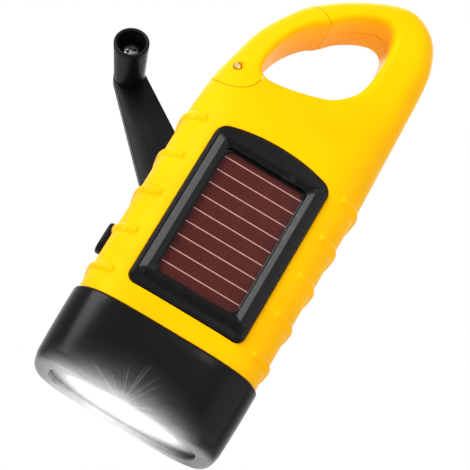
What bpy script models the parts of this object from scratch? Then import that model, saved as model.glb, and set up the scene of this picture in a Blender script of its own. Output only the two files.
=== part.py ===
"""Hand crank flashlight with a solar cell and a carabiner ring.

The lamp's axis is +Z, from the lamp up to the ring. The solar cell faces -Y and the crank is on
the back, +Y. Heights in the sizes below are measured from the lamp's rim, and the whole model then
moves down so that the origin is the centre of the lens's front face.
"""

from math import acos, atan2, copysign, cos, hypot, pi, radians, sin, sqrt, tan

import bmesh
import bpy
from mathutils import Vector

MM = 0.001

# Clearances
REST_GAP = 0.3 * MM          # between fixed neighbours
RUN_GAP = 0.15 * MM          # round a shaft that turns
PARTING_GAP = 0.3 * MM       # between the two case halves
OVERRUN = 4.0 * MM           # how far a cutter passes the face that it opens
WELD = 0.0005 * MM           # points nearer than this, which a cut leaves, are one point

# Case
CASE_HALF_WIDTH = 26.2 * MM
CASE_HALF_THICKNESS = 17.0 * MM
CASE_STRAIGHT = 60.0 * MM    # from the lamp head to where the ring begins
CASE_WALL = 2.0 * MM
CASE_FRONT_WALL = 3.6 * MM   # thicker, for the pocket of the solar cell
SECTION_POWER = 3.8          # of the superellipse that every cross-section follows
SECTION_COLUMNS = 12         # across one face
CAVITY_TOP_BELOW_HOLE = 4.5 * MM

# Carabiner ring
RING_HEIGHT = 55.4 * MM
RING_HALF_THICKNESS = 10.5 * MM
RING_ROUNDING = 8.0 * MM     # how far in from the outline the outer edge is rounded
RING_POWER = 2.6             # of that rounding
RING_INNER_ROUNDING = 2.0 * MM
RING_COLUMNS = 24            # along the outer outline
RING_INNER_STEP_SHARE = 0.3  # where a row of points lies in the inner rounding
RING_OUTER_STEP_SHARES = (1.0, 0.4, 0.12, 0.02)  # and in the outer one, from the flat to the edge
NARROWING_START = 3.5 * MM   # below the shoulder, where the case begins to get thinner
NARROWING_LENGTH = 28.0 * MM
# Outline of the ring, from the right shoulder over the top to the left shoulder: shares of the
# case's half width across, and of the ring's height above the shoulder
RING_OUTLINE_SHARES = (
    (1.000, 0.000), (0.984, 0.388), (0.964, 0.691), (0.921, 0.811), (0.820, 0.917),
    (0.662, 0.984), (0.450, 1.016), (0.206, 0.987), (-0.145, 0.896), (-0.488, 0.765),
    (-0.662, 0.655), (-0.824, 0.506), (-0.917, 0.330), (-0.975, 0.181), (-1.000, 0.000),
)
HOLE_OUTLINE_SHARES = (
    (-0.588, 0.318), (-0.565, 0.440), (-0.481, 0.545), (-0.344, 0.634), (-0.225, 0.679),
    (-0.073, 0.758), (0.134, 0.821), (0.305, 0.839), (0.427, 0.794), (0.458, 0.668),
    (0.435, 0.529), (0.370, 0.440), (0.202, 0.354), (0.000, 0.310), (-0.271, 0.271),
    (-0.492, 0.262),
)
HOLE_CENTRE_SHARES = (-0.057, 0.524)

# Carabiner gate
GATE_PIN_SHARES = (-0.802, 0.242)    # place of the pin, as shares like the outlines'
GATE_FOOT_RADIUS = 7.2 * MM
GATE_LENGTH = 29.1 * MM              # from the pin to the tip's joint
GATE_PIN_RADIUS = 1.1 * MM
GATE_PIN_SUNK = 0.5 * MM
GATE_TONGUE_HALF = 3.6 * MM          # half thickness of the case's tongue in the gate's foot
GATE_FOOT_START = radians(205.0)     # foot's arc, from outside the case round to the hole
GATE_FOOT_END = radians(393.0)
GATE_TIP_END = radians(120.0)
GATE_SPRING_WIRE = 0.2 * MM
GATE_SPRING_RADIUS = 2.0 * MM
GATE_SPRING_TURNS = 3
GATE_SPRING_PITCH = 0.95 * MM
GATE_TRAVEL = radians(30.0)              # the foot meets the hole's floor just beyond it
GATE_SPRING_CASE_ANGLE = radians(-63.0)  # directions of the spring's two legs from the pin
GATE_SPRING_GATE_ANGLE = radians(73.0)
GATE_SPRING_PLAY = radians(8.0)          # of a leg in its slot
GATE_DIMPLE_SHARE = 1.5                  # of the pin's radius, where its end shows

# Grip ribs, by height above the lamp head's top edge
RIB_FIRST = 6.8 * MM
RIB_PITCH = 11.9 * MM
RIB_COUNT = 5
RIB_HALF_HEIGHT = 1.6 * MM
RIB_PROUD = 0.8 * MM
RIB_SUNK = 0.4 * MM          # of the ribs' middle line below the case's face
RIB_REACH_SHARE = 0.78       # of the half width, where a rib ends on the front and the back
RIB_END_SHARE = 0.35         # how much smaller a rib is at its ends
RIB_STEPS = 9

# Lamp head
HEAD_LENGTH = 21.0 * MM
HEAD_HALF_WIDTH = 27.0 * MM
HEAD_HALF_THICKNESS = 17.8 * MM
HEAD_NOSE_INSET = 2.7 * MM   # how much the head is smaller at its rim
HEAD_NOSE_LENGTH = 3.2 * MM
HEAD_TAPER = 0.4 * MM
LIP_THICKNESS = 1.3 * MM
LENS_HALF_WIDTH = 21.5 * MM  # of the opening
LENS_HALF_HEIGHT = 12.3 * MM
LENS_POWER = 2.6
LENS_BORDER = 1.1 * MM       # lens behind the lip, all round
LENS_THICKNESS = 1.2 * MM
LENS_STEP = 0.4 * MM         # how far the lens's middle stands into the opening
SEAL_THICKNESS = 0.9 * MM
REFLECTOR_FLANGE = 1.0 * MM
REFLECTOR_DEPTH = 9.0 * MM
CUP_RADIUS = 6.9 * MM
CUP_WALL = 0.7 * MM
CUP_PITCH = 14.1 * MM
LED_COUNT = 3
LED_RADIUS = 2.4 * MM
LED_LENGTH = 8.0 * MM
LED_FLANGE = 0.4 * MM
BOARD_THICKNESS = 1.2 * MM
NECK_INSET = 2.5 * MM        # how much the case is smaller inside the head

# Solar cell and its frame
BEZEL_HALF_WIDTH = 16.6 * MM
BEZEL_BOTTOM = 6.3 * MM      # above the head's top edge
BEZEL_SIDE_HEIGHT = 48.8 * MM
BEZEL_ARCH_RISE = 1.9 * MM
BEZEL_CORNER = 2.2 * MM
BEZEL_TOP_CORNER = 3.5 * MM
BEZEL_PROUD = 0.5 * MM
BEZEL_SEAT_DEPTH = 1.8 * MM
CELL_HALF_WIDTH = 11.4 * MM  # of the window
CELL_HEIGHT = 37.3 * MM
CELL_BOTTOM = 12.4 * MM      # above the head's top edge
CELL_BORDER = 1.4 * MM       # cell under the frame, all round
CELL_THICKNESS = 1.0 * MM
CELL_DEPTH = 1.5 * MM        # of its face below the case's front
CELL_CORNER = 2.0 * MM
WINDOW_FLARE = 2.9 * MM      # the window is wider by this at the frame's face
SOLAR_CABLE_BELOW_CELL_TOP = 4.0 * MM

# Crank
HUB_HEIGHT = 28.0 * MM       # above the head's top edge
HUB_RADIUS = 12.0 * MM
HUB_THICKNESS = 2.6 * MM
HUB_SUNK = 2.4 * MM          # underside of the hub below the case's back
BOSS_RADIUS = 14.6 * MM
BOSS_DEPTH = 2.5 * MM
SPINDLE_RADIUS = 3.0 * MM
DRIVE_SQUARE = 4.2 * MM
STUB_RADIUS = 1.5 * MM
BUSH_WALL = 1.0 * MM
CIRCLIP_THICKNESS = 0.6 * MM
CIRCLIP_WALL = 2.3 * MM
ARM_AIR = 0.8 * MM           # between the folded arm and the hub
ARM_THICKNESS = 5.0 * MM
ARM_TIP_THICKNESS = 4.0 * MM
ARM_LENGTH = 67.0 * MM       # fold pin to knob axis
ARM_HALF_WIDTH = 10.7 * MM    # at the fold pin
ARM_TIP_RADIUS = 4.6 * MM
FOLD_PIN_RADIUS = 1.5 * MM
FOLD_PIN_SHORT = 0.6 * MM    # the pin ends this far inside each side of the arm
LUG_HALF_WIDTH = 4.2 * MM
KNOB_LENGTH = 16.8 * MM
KNOB_RADIUS = 5.05 * MM      # at the open end
KNOB_BASE_RADIUS = 4.45 * MM
KNOB_WALL = 1.1 * MM
KNOB_FLOOR = 10.6 * MM
KNOB_SCREW_RADIUS = 1.3 * MM
KNOB_SCREW_HEAD = 2.4 * MM
KNOB_SCREW_HEAD_HEIGHT = 1.5 * MM
KNOB_SCREW_GRIP = 3.4 * MM   # length in the arm
CRANK_SWING = radians(47.2)  # turned from straight up, towards -X
CRANK_FOLD = radians(14.0)   # folded out from the back

# Gear train
GEAR_MODULE = 0.7 * MM
PRESSURE_ANGLE = radians(25.0)
ADDENDUM_SHARE = 0.8         # of the module
DEDENDUM_SHARE = 1.0
TOOTH_THINNING = 0.12 * MM   # each tooth is thinner by this, which gives the backlash
GEAR_WIDTH = 1.6 * MM
GEAR_SPACE = 0.7 * MM        # between one wheel and the next along the axles
CRANK_TEETH = 40
WHEEL_TEETH = 36
PINION_TEETH = 12
GEAR_A_DIRECTION = radians(109.0)    # from the crank's axis, in the XZ plane
GEAR_B_DIRECTION = radians(33.5)     # from gear A's axis
ROTOR_DIRECTION = radians(252.5)     # from gear B's axis
AXLE_RADIUS = 1.0 * MM
AXLE_BOSS_WALL = 1.5 * MM
AXLE_SOCKET = 2.0 * MM       # length of the axle in its boss
SPACER_WALL = 1.0 * MM
PLATE_THICKNESS = 1.6 * MM
PLATE_MARGIN = 3.2 * MM
# Posts of the gearbox plate: across from the lamp's axis, and above the hub
POST_PLACES = ((-20.0 * MM, 3.0 * MM), (18.0 * MM, 7.0 * MM), (-9.0 * MM, 36.0 * MM))
POST_RADIUS = 2.5 * MM
PLATE_SCREW_RADIUS = 0.9 * MM
PLATE_SCREW_HEAD = 1.9 * MM
PLATE_SCREW_HEAD_HEIGHT = 1.0 * MM
PLATE_SCREW_LENGTH = 5.0 * MM

# Generator
CAN_RADIUS = 10.4 * MM
CAN_WALL = 0.8 * MM
CAN_DEPTH = 10.2 * MM
COIL_WALL = 2.6 * MM
COIL_SHORT = 1.2 * MM
MAGNET_RADIUS = 6.0 * MM
MAGNET_LENGTH = 6.4 * MM
ROTOR_SHAFT_RADIUS = 0.8 * MM

# Power button on the left wall, at the parting line
BUTTON_HEIGHT = 17.0 * MM    # above the head's top edge
BUTTON_HALF_LENGTH = 4.4 * MM
BUTTON_HALF_WIDTH = 3.0 * MM
BUTTON_CORNER = 2.4 * MM
BUTTON_PROUD = 1.9 * MM
BUTTON_CROWN = 0.7 * MM
BUTTON_FLANGE = 0.8 * MM
BUTTON_FLANGE_EXTRA = 0.8 * MM
BUTTON_TRAVEL = 1.2 * MM
BUTTON_BARE = 4.5 * MM       # no rib this near to the parting line at the button
PLUNGER_RADIUS = 1.1 * MM
PLUNGER_LENGTH = 4.6 * MM
SWITCH_BACK = 3.4 * MM       # from the button's flange to the switch
SWITCH_LENGTH = 5.4 * MM
SWITCH_HALF = 3.2 * MM
SWITCH_SPRING_WIRE = 0.22 * MM
SWITCH_SPRING_RADIUS = 1.9 * MM
SWITCH_SPRING_TURNS = 2

# Circuit board and battery
MAIN_BOARD_HALF_WIDTH = 13.4 * MM
MAIN_BOARD_HEIGHT = 53.0 * MM
MAIN_BOARD_DEPTH = 5.6 * MM  # of its outer face below the case's front
BOARD_POST_RADIUS = 1.8 * MM
BOARD_POST_INSET = 3.0 * MM
CHIP_HALF = 4.0 * MM
CHIP_THICKNESS = 1.6 * MM
CHIP_PLACE = (7.0 * MM, 29.0 * MM)   # across, and above the head's top edge
CAPACITOR_RADIUS = 2.6 * MM
CAPACITOR_HEIGHT = 6.0 * MM
CAPACITOR_PLACE = (-9.5 * MM, 27.0 * MM)
CABLE_RADIUS = 0.8 * MM      # a pair of wires in one sleeve
CELL_COUNT = 3
BATTERY_RADIUS = 7.5 * MM
BATTERY_CELL_LENGTH = 6.0 * MM
BATTERY_HEIGHT = 14.5 * MM   # above the head's top edge
CRADLE_WALL = 1.4 * MM
CRADLE_DEPTH = 3.0 * MM      # of the cradle's edge below the cells' axis
TAB_THICKNESS = 0.3 * MM
TAB_HALF_WIDTH = 2.0 * MM

# Case screws, put in from the back: across, and above the head's top edge
CASE_SCREW_PLACES = (
    (-19.3 * MM, 7.9 * MM), (19.3 * MM, 7.9 * MM), (19.3 * MM, 68.0 * MM),
    (-18.6 * MM, 60.4 * MM), (18.6 * MM, 95.0 * MM),
)
CASE_SCREW_RADIUS = 1.1 * MM
CASE_SCREW_HEAD = 2.3 * MM
CASE_SCREW_HEAD_HEIGHT = 1.6 * MM
CASE_SCREW_HEAD_LEVEL = 5.0 * MM     # underside of the head, behind the parting line
CASE_SCREW_GRIP = 5.0 * MM           # length in the front half
CASE_COLUMN_WALL = 1.6 * MM

# Places worked out from the sizes
LENS_RECESS = LIP_THICKNESS + REST_GAP - LENS_STEP
SHOULDER_Z = HEAD_LENGTH + CASE_STRAIGHT
HUB_Z = HEAD_LENGTH + HUB_HEIGHT
HALF_GAP = PARTING_GAP / 2
BACK_Y = CASE_HALF_THICKNESS
RECESS_FLOOR_Y = BACK_Y - HUB_SUNK - REST_GAP
HUB_UNDER_Y = BACK_Y - HUB_SUNK
HUB_TOP_Y = HUB_UNDER_Y + HUB_THICKNESS
FOLD_PIN_Y = HUB_TOP_Y + ARM_AIR + ARM_THICKNESS / 2
BOSS_UNDER_Y = RECESS_FLOOR_Y - BOSS_DEPTH
CRANK_GEAR_TOP_Y = BOSS_UNDER_Y - REST_GAP
CRANK_GEAR_UNDER_Y = CRANK_GEAR_TOP_Y - GEAR_WIDTH
WHEEL_A_TOP_Y = CRANK_GEAR_UNDER_Y - GEAR_SPACE
WHEEL_A_UNDER_Y = WHEEL_A_TOP_Y - GEAR_WIDTH
WHEEL_B_TOP_Y = WHEEL_A_UNDER_Y - GEAR_SPACE
WHEEL_B_UNDER_Y = WHEEL_B_TOP_Y - GEAR_WIDTH
PLATE_TOP_Y = WHEEL_B_UNDER_Y - GEAR_SPACE
PLATE_UNDER_Y = PLATE_TOP_Y - PLATE_THICKNESS
CAN_TOP_Y = PLATE_UNDER_Y - REST_GAP
BOARD_FRONT_Y = -CASE_HALF_THICKNESS + MAIN_BOARD_DEPTH
BOARD_BACK_Y = BOARD_FRONT_Y + BOARD_THICKNESS
GATE_PIN_X = GATE_PIN_SHARES[0] * CASE_HALF_WIDTH
GATE_PIN_Z = SHOULDER_Z + GATE_PIN_SHARES[1] * RING_HEIGHT
HOLE_BOTTOM_Z = SHOULDER_Z + RING_HEIGHT * min(share[1] for share in HOLE_OUTLINE_SHARES)
INNER_HALF_WIDTH = CASE_HALF_WIDTH - CASE_WALL
NECK_END_Z = (LENS_RECESS + LENS_THICKNESS + SEAL_THICKNESS + REFLECTOR_DEPTH + BOARD_THICKNESS
              + 4 * REST_GAP)


# Materials

def material(name, colour, roughness, metallic=0.0):
    made = bpy.data.materials.new(name)
    made.use_nodes = True
    shader = made.node_tree.nodes["Principled BSDF"]
    shader.inputs["Base Color"].default_value = (*colour, 1.0)
    shader.inputs["Roughness"].default_value = roughness
    shader.inputs["Metallic"].default_value = metallic
    made.diffuse_color = (*colour, 1.0)
    return made


# Meshes

def mesh_object(name, points, faces, look=None, parent=None, smooth=True):
    """One closed body from points and faces, with its faces turned outward."""
    shape = bmesh.new()
    corners = [shape.verts.new(point) for point in points]
    for face in faces:
        shape.faces.new([corners[index] for index in face])
    bmesh.ops.recalc_face_normals(shape, faces=shape.faces)
    mesh = bpy.data.meshes.new(name)
    shape.to_mesh(mesh)
    shape.free()
    made = bpy.data.objects.new(name, mesh)
    bpy.context.scene.collection.objects.link(made)
    if look:
        mesh.materials.append(look)
    made.parent = parent
    if smooth:
        shade(made)
    return made


def shade(piece):
    piece.data.shade_smooth()
    piece.data.set_sharp_from_angle(angle=radians(32.0))


def loft(name, rings, look=None, parent=None, smooth=True):
    """Closed body through rings of equally many points, with a flat cap at each end."""
    count = len(rings[0])
    points = [point for ring in rings for point in ring]
    faces = []
    for level in range(len(rings) - 1):
        low = level * count
        for index in range(count):
            following = (index + 1) % count
            faces.append((low + index, low + following, low + count + following, low + count + index))
    faces.append(tuple(range(count)))
    faces.append(tuple(range(len(points) - count, len(points))))
    return mesh_object(name, points, faces, look, parent, smooth)


def prism(name, outline, start, end, look=None, parent=None, axis="y"):
    """An outline extruded along an axis: (x, z) along y, (x, y) along z, (y, z) along x."""
    place = {
        "x": lambda u, v, w: (w, u, v),
        "y": lambda u, v, w: (u, w, v),
        "z": lambda u, v, w: (u, v, w),
    }[axis]
    rings = [[place(u, v, w) for u, v in outline] for w in (start, end)]
    return loft(name, rings, look, parent)


def circle(radius, count, centre=(0.0, 0.0), start=0.0):
    return [
        (centre[0] + radius * cos(start + 2 * pi * step / count),
         centre[1] + radius * sin(start + 2 * pi * step / count))
        for step in range(count)
    ]


def turned(name, profile, count, centre=(0.0, 0.0), look=None, parent=None, axis="y"):
    """A solid of revolution: profile is (radius, height) from one end to the other, and a height
    at radius zero closes an end to a point."""
    place = {
        "x": lambda u, v, w: (w, u, v),
        "y": lambda u, v, w: (u, w, v),
        "z": lambda u, v, w: (u, v, w),
    }[axis]
    points, faces, rings = [], [], []
    for radius, height in profile:
        if radius == 0:
            rings.append([len(points)] * count)
            points.append(place(centre[0], centre[1], height))
        else:
            rings.append(list(range(len(points), len(points) + count)))
            points += [place(u, v, height) for u, v in circle(radius, count, centre)]
    for low, high in zip(rings, rings[1:]):
        for index in range(count):
            following = (index + 1) % count
            corners = [low[index], low[following], high[following], high[index]]
            face = [corner for place_in, corner in enumerate(corners) if corner not in corners[:place_in]]
            faces.append(face)
    for ring, (radius, _) in ((rings[0], profile[0]), (rings[-1], profile[-1])):
        if radius != 0:
            faces.append(ring)
    return mesh_object(name, points, faces, look, parent)


def tube_ring(name, outer, inner, start, end, count, centre=(0.0, 0.0), look=None, parent=None, axis="y"):
    """A washer or sleeve."""
    made = turned(name, ((outer, start), (outer, end)), count, centre, look, parent, axis)
    cut(made, turned("bore", ((inner, start - OVERRUN), (inner, end + OVERRUN)), count, centre, axis=axis))
    return made


def box(name, low, high, look=None, parent=None):
    outline = ((low[0], low[2]), (high[0], low[2]), (high[0], high[2]), (low[0], high[2]))
    return prism(name, outline, low[1], high[1], look, parent)


def combine(piece, tool, operation):
    """Join, cut or cross one body with another, and drop the other."""
    parent = piece.parent
    piece.parent = None
    bpy.context.view_layer.update()
    step = piece.modifiers.new("step", "BOOLEAN")
    step.operation = operation
    step.solver = "EXACT"
    step.object = tool
    graph = bpy.context.evaluated_depsgraph_get()
    made = bpy.data.meshes.new_from_object(piece.evaluated_get(graph))
    shape = bmesh.new()
    shape.from_mesh(made)
    bmesh.ops.remove_doubles(shape, verts=shape.verts, dist=WELD)
    shape.to_mesh(made)
    shape.free()
    piece.modifiers.clear()
    old = piece.data
    piece.data = made
    made.name = piece.name
    bpy.data.meshes.remove(old)
    bpy.data.objects.remove(tool)
    piece.parent = parent
    shade(piece)
    return piece


def cut(piece, tool):
    return combine(piece, tool, "DIFFERENCE")


def join(piece, tool):
    return combine(piece, tool, "UNION")


def cross(piece, tool):
    return combine(piece, tool, "INTERSECT")


def copy_of(piece, name, look=None, parent=None):
    made = bpy.data.objects.new(name, piece.data.copy())
    bpy.context.scene.collection.objects.link(made)
    made.parent = parent
    if look:
        made.data.materials.clear()
        made.data.materials.append(look)
    return made


def group(name, pieces, look, parent):
    """Several separate bodies in one object."""
    shape = bmesh.new()
    for piece in pieces:
        shape.from_mesh(piece.data)
        bpy.data.objects.remove(piece)
    mesh = bpy.data.meshes.new(name)
    shape.to_mesh(mesh)
    shape.free()
    mesh.materials.append(look)
    made = bpy.data.objects.new(name, mesh)
    bpy.context.scene.collection.objects.link(made)
    made.parent = parent
    shade(made)
    return made


def drop(*pieces):
    for piece in pieces:
        bpy.data.objects.remove(piece)


def empty(name, place, parent=None, turn=(0.0, 0.0, 0.0)):
    made = bpy.data.objects.new(name, None)
    bpy.context.scene.collection.objects.link(made)
    made.location = place
    made.rotation_euler = turn
    made.parent = parent
    return made


def wire(name, path, radius, look, parent):
    """A round wire along a path of points, with filled ends."""
    curve = bpy.data.curves.new(name, "CURVE")
    curve.dimensions = "3D"
    curve.bevel_depth = radius
    curve.bevel_resolution = 1
    curve.use_fill_caps = True
    line = curve.splines.new("POLY")
    line.points.add(len(path) - 1)
    for point, place in zip(line.points, path):
        point.co = (*place, 1.0)
    made = bpy.data.objects.new(name, curve)
    bpy.context.scene.collection.objects.link(made)
    graph = bpy.context.evaluated_depsgraph_get()
    mesh = bpy.data.meshes.new_from_object(made.evaluated_get(graph))
    bpy.data.objects.remove(made)
    shape = bmesh.new()
    shape.from_mesh(mesh)
    bmesh.ops.remove_doubles(shape, verts=shape.verts, dist=radius / 100)
    bmesh.ops.recalc_face_normals(shape, faces=shape.faces)
    shape.to_mesh(mesh)
    shape.free()
    mesh.materials.clear()
    mesh.materials.append(look)
    made = bpy.data.objects.new(name, mesh)
    bpy.context.scene.collection.objects.link(made)
    made.parent = parent
    shade(made)
    return made


def print_least_gap(name, path, radius, apart):
    """Say how near a coiled wire comes to itself, between points that lie some steps apart."""
    least = min(
        (Vector(path[first]) - Vector(path[second])).length
        for first in range(len(path)) for second in range(first + apart, len(path))
    )
    print(f"{name}: least gap to itself {(least - 2 * radius) / MM:.2f} mm")


# Curves and outlines

def spline(points, steps, closed):
    """Points along a smooth curve through the given ones."""
    count = len(points)
    spans = count if closed else count - 1
    found = []
    for span in range(spans):
        if closed:
            before, start, end, after = (points[(span + shift) % count] for shift in (-1, 0, 1, 2))
        else:
            before = points[max(span - 1, 0)]
            start, end = points[span], points[span + 1]
            after = points[min(span + 2, count - 1)]
        for step in range(steps):
            t = step / steps
            found.append(tuple(
                0.5 * (2 * b + (c - a) * t + (2 * a - 5 * b + 4 * c - d) * t * t
                       + (3 * b - a - 3 * c + d) * t * t * t)
                for a, b, c, d in zip(before, start, end, after)
            ))
    if not closed:
        found.append(tuple(points[-1]))
    return found


def even_points(line, count):
    """Points at even steps along an open line, both ends included."""
    lengths = [0.0]
    for (x1, z1), (x2, z2) in zip(line, line[1:]):
        lengths.append(lengths[-1] + hypot(x2 - x1, z2 - z1))
    found = []
    span = 0
    for step in range(count + 1):
        goal = lengths[-1] * step / count
        while span < len(line) - 2 and lengths[span + 1] < goal:
            span += 1
        share = (goal - lengths[span]) / (lengths[span + 1] - lengths[span])
        found.append(tuple(a + share * (b - a) for a, b in zip(line[span], line[span + 1])))
    return found


def distance_to_line(x, z, line):
    nearest = None
    for (x1, z1), (x2, z2) in zip(line, line[1:]):
        dx, dz = x2 - x1, z2 - z1
        share = ((x - x1) * dx + (z - z1) * dz) / (dx * dx + dz * dz)
        share = min(max(share, 0.0), 1.0)
        gap = hypot(x - x1 - share * dx, z - z1 - share * dz)
        if nearest is None or gap < nearest:
            nearest = gap
    return nearest


def smooth_step(value):
    value = min(max(value, 0.0), 1.0)
    return value * value * (3 - 2 * value)


def shared_place(share):
    return (share[0] * CASE_HALF_WIDTH, SHOULDER_Z + share[1] * RING_HEIGHT)


RING_OUTLINE = spline([shared_place(share) for share in RING_OUTLINE_SHARES], 8, False)
HOLE_OUTLINE = spline([shared_place(share) for share in HOLE_OUTLINE_SHARES], 8, True)
SIDE_LINE = (
    [(CASE_HALF_WIDTH, SHOULDER_Z - CASE_STRAIGHT)] + RING_OUTLINE
    + [(-CASE_HALF_WIDTH, SHOULDER_Z - CASE_STRAIGHT)]
)


def narrowing(z):
    """0 where the case has its full thickness, 1 in the ring."""
    return smooth_step((z - SHOULDER_Z + NARROWING_START) / NARROWING_LENGTH)


def surface_height(x, z):
    """Height of the case's face above its middle plane, without the hole's rounding."""
    mix = narrowing(z)
    full = CASE_HALF_THICKNESS + mix * (RING_HALF_THICKNESS - CASE_HALF_THICKNESS)
    reach = CASE_HALF_WIDTH + mix * (RING_ROUNDING - CASE_HALF_WIDTH)
    power = SECTION_POWER + mix * (RING_POWER - SECTION_POWER)
    inward = min(distance_to_line(x, z, SIDE_LINE) / reach, 1.0)
    return full * (1 - (1 - inward) ** power) ** (1 / power)


def section(half_width, half_thickness, z, power=SECTION_POWER, columns=SECTION_COLUMNS):
    """Closed ring of a superellipse at one height, front face first, from -X to +X."""
    ring = []
    for step in range(2 * columns):
        angle = pi * step / columns
        along = copysign(abs(cos(angle)) ** (2 / power), -cos(angle))
        across = 0.0 if step in (0, columns) else copysign(abs(sin(angle)) ** (2 / power), -sin(angle))
        ring.append((along * half_width, across * half_thickness, z))
    return ring


def hole_point(angle, centre):
    """Where a ray from the hole's centre meets the hole's outline."""
    ray = (cos(angle), sin(angle))
    best = None
    for (x1, z1), (x2, z2) in zip(HOLE_OUTLINE, HOLE_OUTLINE[1:] + HOLE_OUTLINE[:1]):
        dx, dz = x2 - x1, z2 - z1
        spread = ray[0] * dz - ray[1] * dx
        if abs(spread) < 1e-12:
            continue
        reach = ((x1 - centre[0]) * dz - (z1 - centre[1]) * dx) / spread
        share = ((x1 - centre[0]) * ray[1] - (z1 - centre[1]) * ray[0]) / spread
        if reach > 0 and -1e-9 <= share <= 1 + 1e-9 and (best is None or reach < best):
            best = reach
    return (centre[0] + best * ray[0], centre[1] + best * ray[1])


def arch_turn(half_width, corner, rise):
    """How far a top corner turns until the arch goes on from it without a kink."""
    turn = pi / 2
    for _ in range(12):
        turn = atan2(half_width - corner + corner * cos(turn), 2 * rise)
    return turn


def rounded_box(half_width, bottom, top, corner, steps=4, top_corner=None, rise=0.0):
    """Outline of a rectangle with round corners, and an arched top if it rises."""
    top_corner = top_corner or corner
    turn = arch_turn(half_width, top_corner, rise)
    outline = []
    for centre_x, centre_z, radius, start, turned_by in (
        (half_width - corner, bottom + corner, corner, -pi / 2, pi / 2),
        (half_width - top_corner, top - top_corner * sin(turn), top_corner, 0.0, turn),
    ):
        for step in range(steps + 1):
            angle = start + turned_by * step / steps
            outline.append((centre_x + radius * cos(angle), centre_z + radius * sin(angle)))
    if rise:
        inner = half_width - top_corner + top_corner * cos(turn)
        for step in range(1, 2 * steps):
            x = inner * (1 - step / steps)
            outline.append((x, top + rise * (1 - (x / inner) ** 2)))
    left = [(-x, z) for x, z in reversed(outline[:2 * (steps + 1)])]
    return outline + left


def hull_outline(rounds, count=24):
    """Convex outline round circles given as (x, z, radius)."""
    cloud = sorted({
        (round(x + radius * cos(2 * pi * step / count), 9), round(z + radius * sin(2 * pi * step / count), 9))
        for x, z, radius in rounds for step in range(count)
    })

    def half(points):
        chain = []
        for point in points:
            while len(chain) > 1 and (
                (chain[-1][0] - chain[-2][0]) * (point[1] - chain[-2][1])
                - (chain[-1][1] - chain[-2][1]) * (point[0] - chain[-2][0])
            ) <= 0:
                chain.pop()
            chain.append(point)
        return chain[:-1]

    return half(cloud) + half(reversed(cloud))


# Case: front half, rear half and gate

def case_stations():
    """Cross-sections of the case from the end of its neck up to the shoulder."""
    neck = (CASE_HALF_WIDTH - NECK_INSET, CASE_HALF_THICKNESS - NECK_INSET)
    front_z = HEAD_LENGTH + REST_GAP
    rings = [
        section(*neck, NECK_END_Z),
        section(*neck, front_z),
        section(CASE_HALF_WIDTH, CASE_HALF_THICKNESS, front_z),
    ]
    for z in (SHOULDER_Z - NARROWING_START, SHOULDER_Z - NARROWING_START / 2, SHOULDER_Z):
        flat = section(CASE_HALF_WIDTH, 1.0, z)
        rings.append([
            (x, (1 if y > 0 else -1) * surface_height(x, z), z) for x, y, z in flat
        ])
    return rings


def hole_rounding(inward):
    """How far the face has dropped at a distance from the hole's edge."""
    if inward >= RING_INNER_ROUNDING:
        return 0.0
    share = 1 - inward / RING_INNER_ROUNDING
    return RING_INNER_ROUNDING * (1 - sqrt(1 - share * share))


def ray_distances(length):
    """Where the rows of points lie between the hole's edge and the outline."""
    inner = RING_INNER_ROUNDING
    outer = RING_ROUNDING / 2
    middle = length - inner - outer
    return (
        0.0, inner * RING_INNER_STEP_SHARE, inner, inner + middle / 2,
        *(length - outer * share for share in RING_OUTER_STEP_SHARES),
    )


def case_blank():
    """The case, the ring and the gate as one solid, before they are parted."""
    points, faces = [], []
    stations = case_stations()
    count = 2 * SECTION_COLUMNS
    for ring in stations:
        points += ring
    for level in range(len(stations) - 1):
        low = level * count
        for index in range(count):
            following = (index + 1) % count
            faces.append((low + index, low + following, low + count + following, low + count + index))
    faces.append(tuple(range(count)))
    shoulder = len(points) - count

    outline = even_points(RING_OUTLINE, RING_COLUMNS)
    centre = shared_place(HOLE_CENTRE_SHARES)
    edge, front_edge, rear_edge = [], [], []
    for step in range(SECTION_COLUMNS + 1):
        x, _, z = stations[-1][step]
        edge.append((x, z))
        front_edge.append(shoulder + step)
        rear_edge.append(shoulder + (count - step) % count)
    for x, z in outline[1:-1]:
        edge.append((x, z))
        front_edge.append(len(points))
        rear_edge.append(len(points))
        points.append((x, 0.0, z))

    front_rows, rear_rows = [], []
    around = len(edge)
    for index, (x, z) in enumerate(edge):
        start = hole_point(atan2(z - centre[1], x - centre[0]), centre)
        length = hypot(x - start[0], z - start[1])
        front_row, rear_row = [], []
        for distance in ray_distances(length):
            share = distance / length
            at = (start[0] + share * (x - start[0]), start[1] + share * (z - start[1]))
            height = surface_height(*at) - hole_rounding(distance)
            front_row.append(len(points))
            points.append((at[0], -height, at[1]))
            rear_row.append(len(points))
            points.append((at[0], height, at[1]))
        front_rows.append(front_row + [front_edge[index]])
        rear_rows.append(rear_row + [rear_edge[index]])
    for index in range(around):
        following = (index + 1) % around
        for rows in (front_rows, rear_rows):
            near, far = rows[index], rows[following]
            for step in range(len(near) - 1):
                faces.append((near[step], near[step + 1], far[step + 1], far[step]))
        faces.append((
            front_rows[index][0], front_rows[following][0], rear_rows[following][0], rear_rows[index][0],
        ))
    return mesh_object("case_blank", points, faces)


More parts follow.
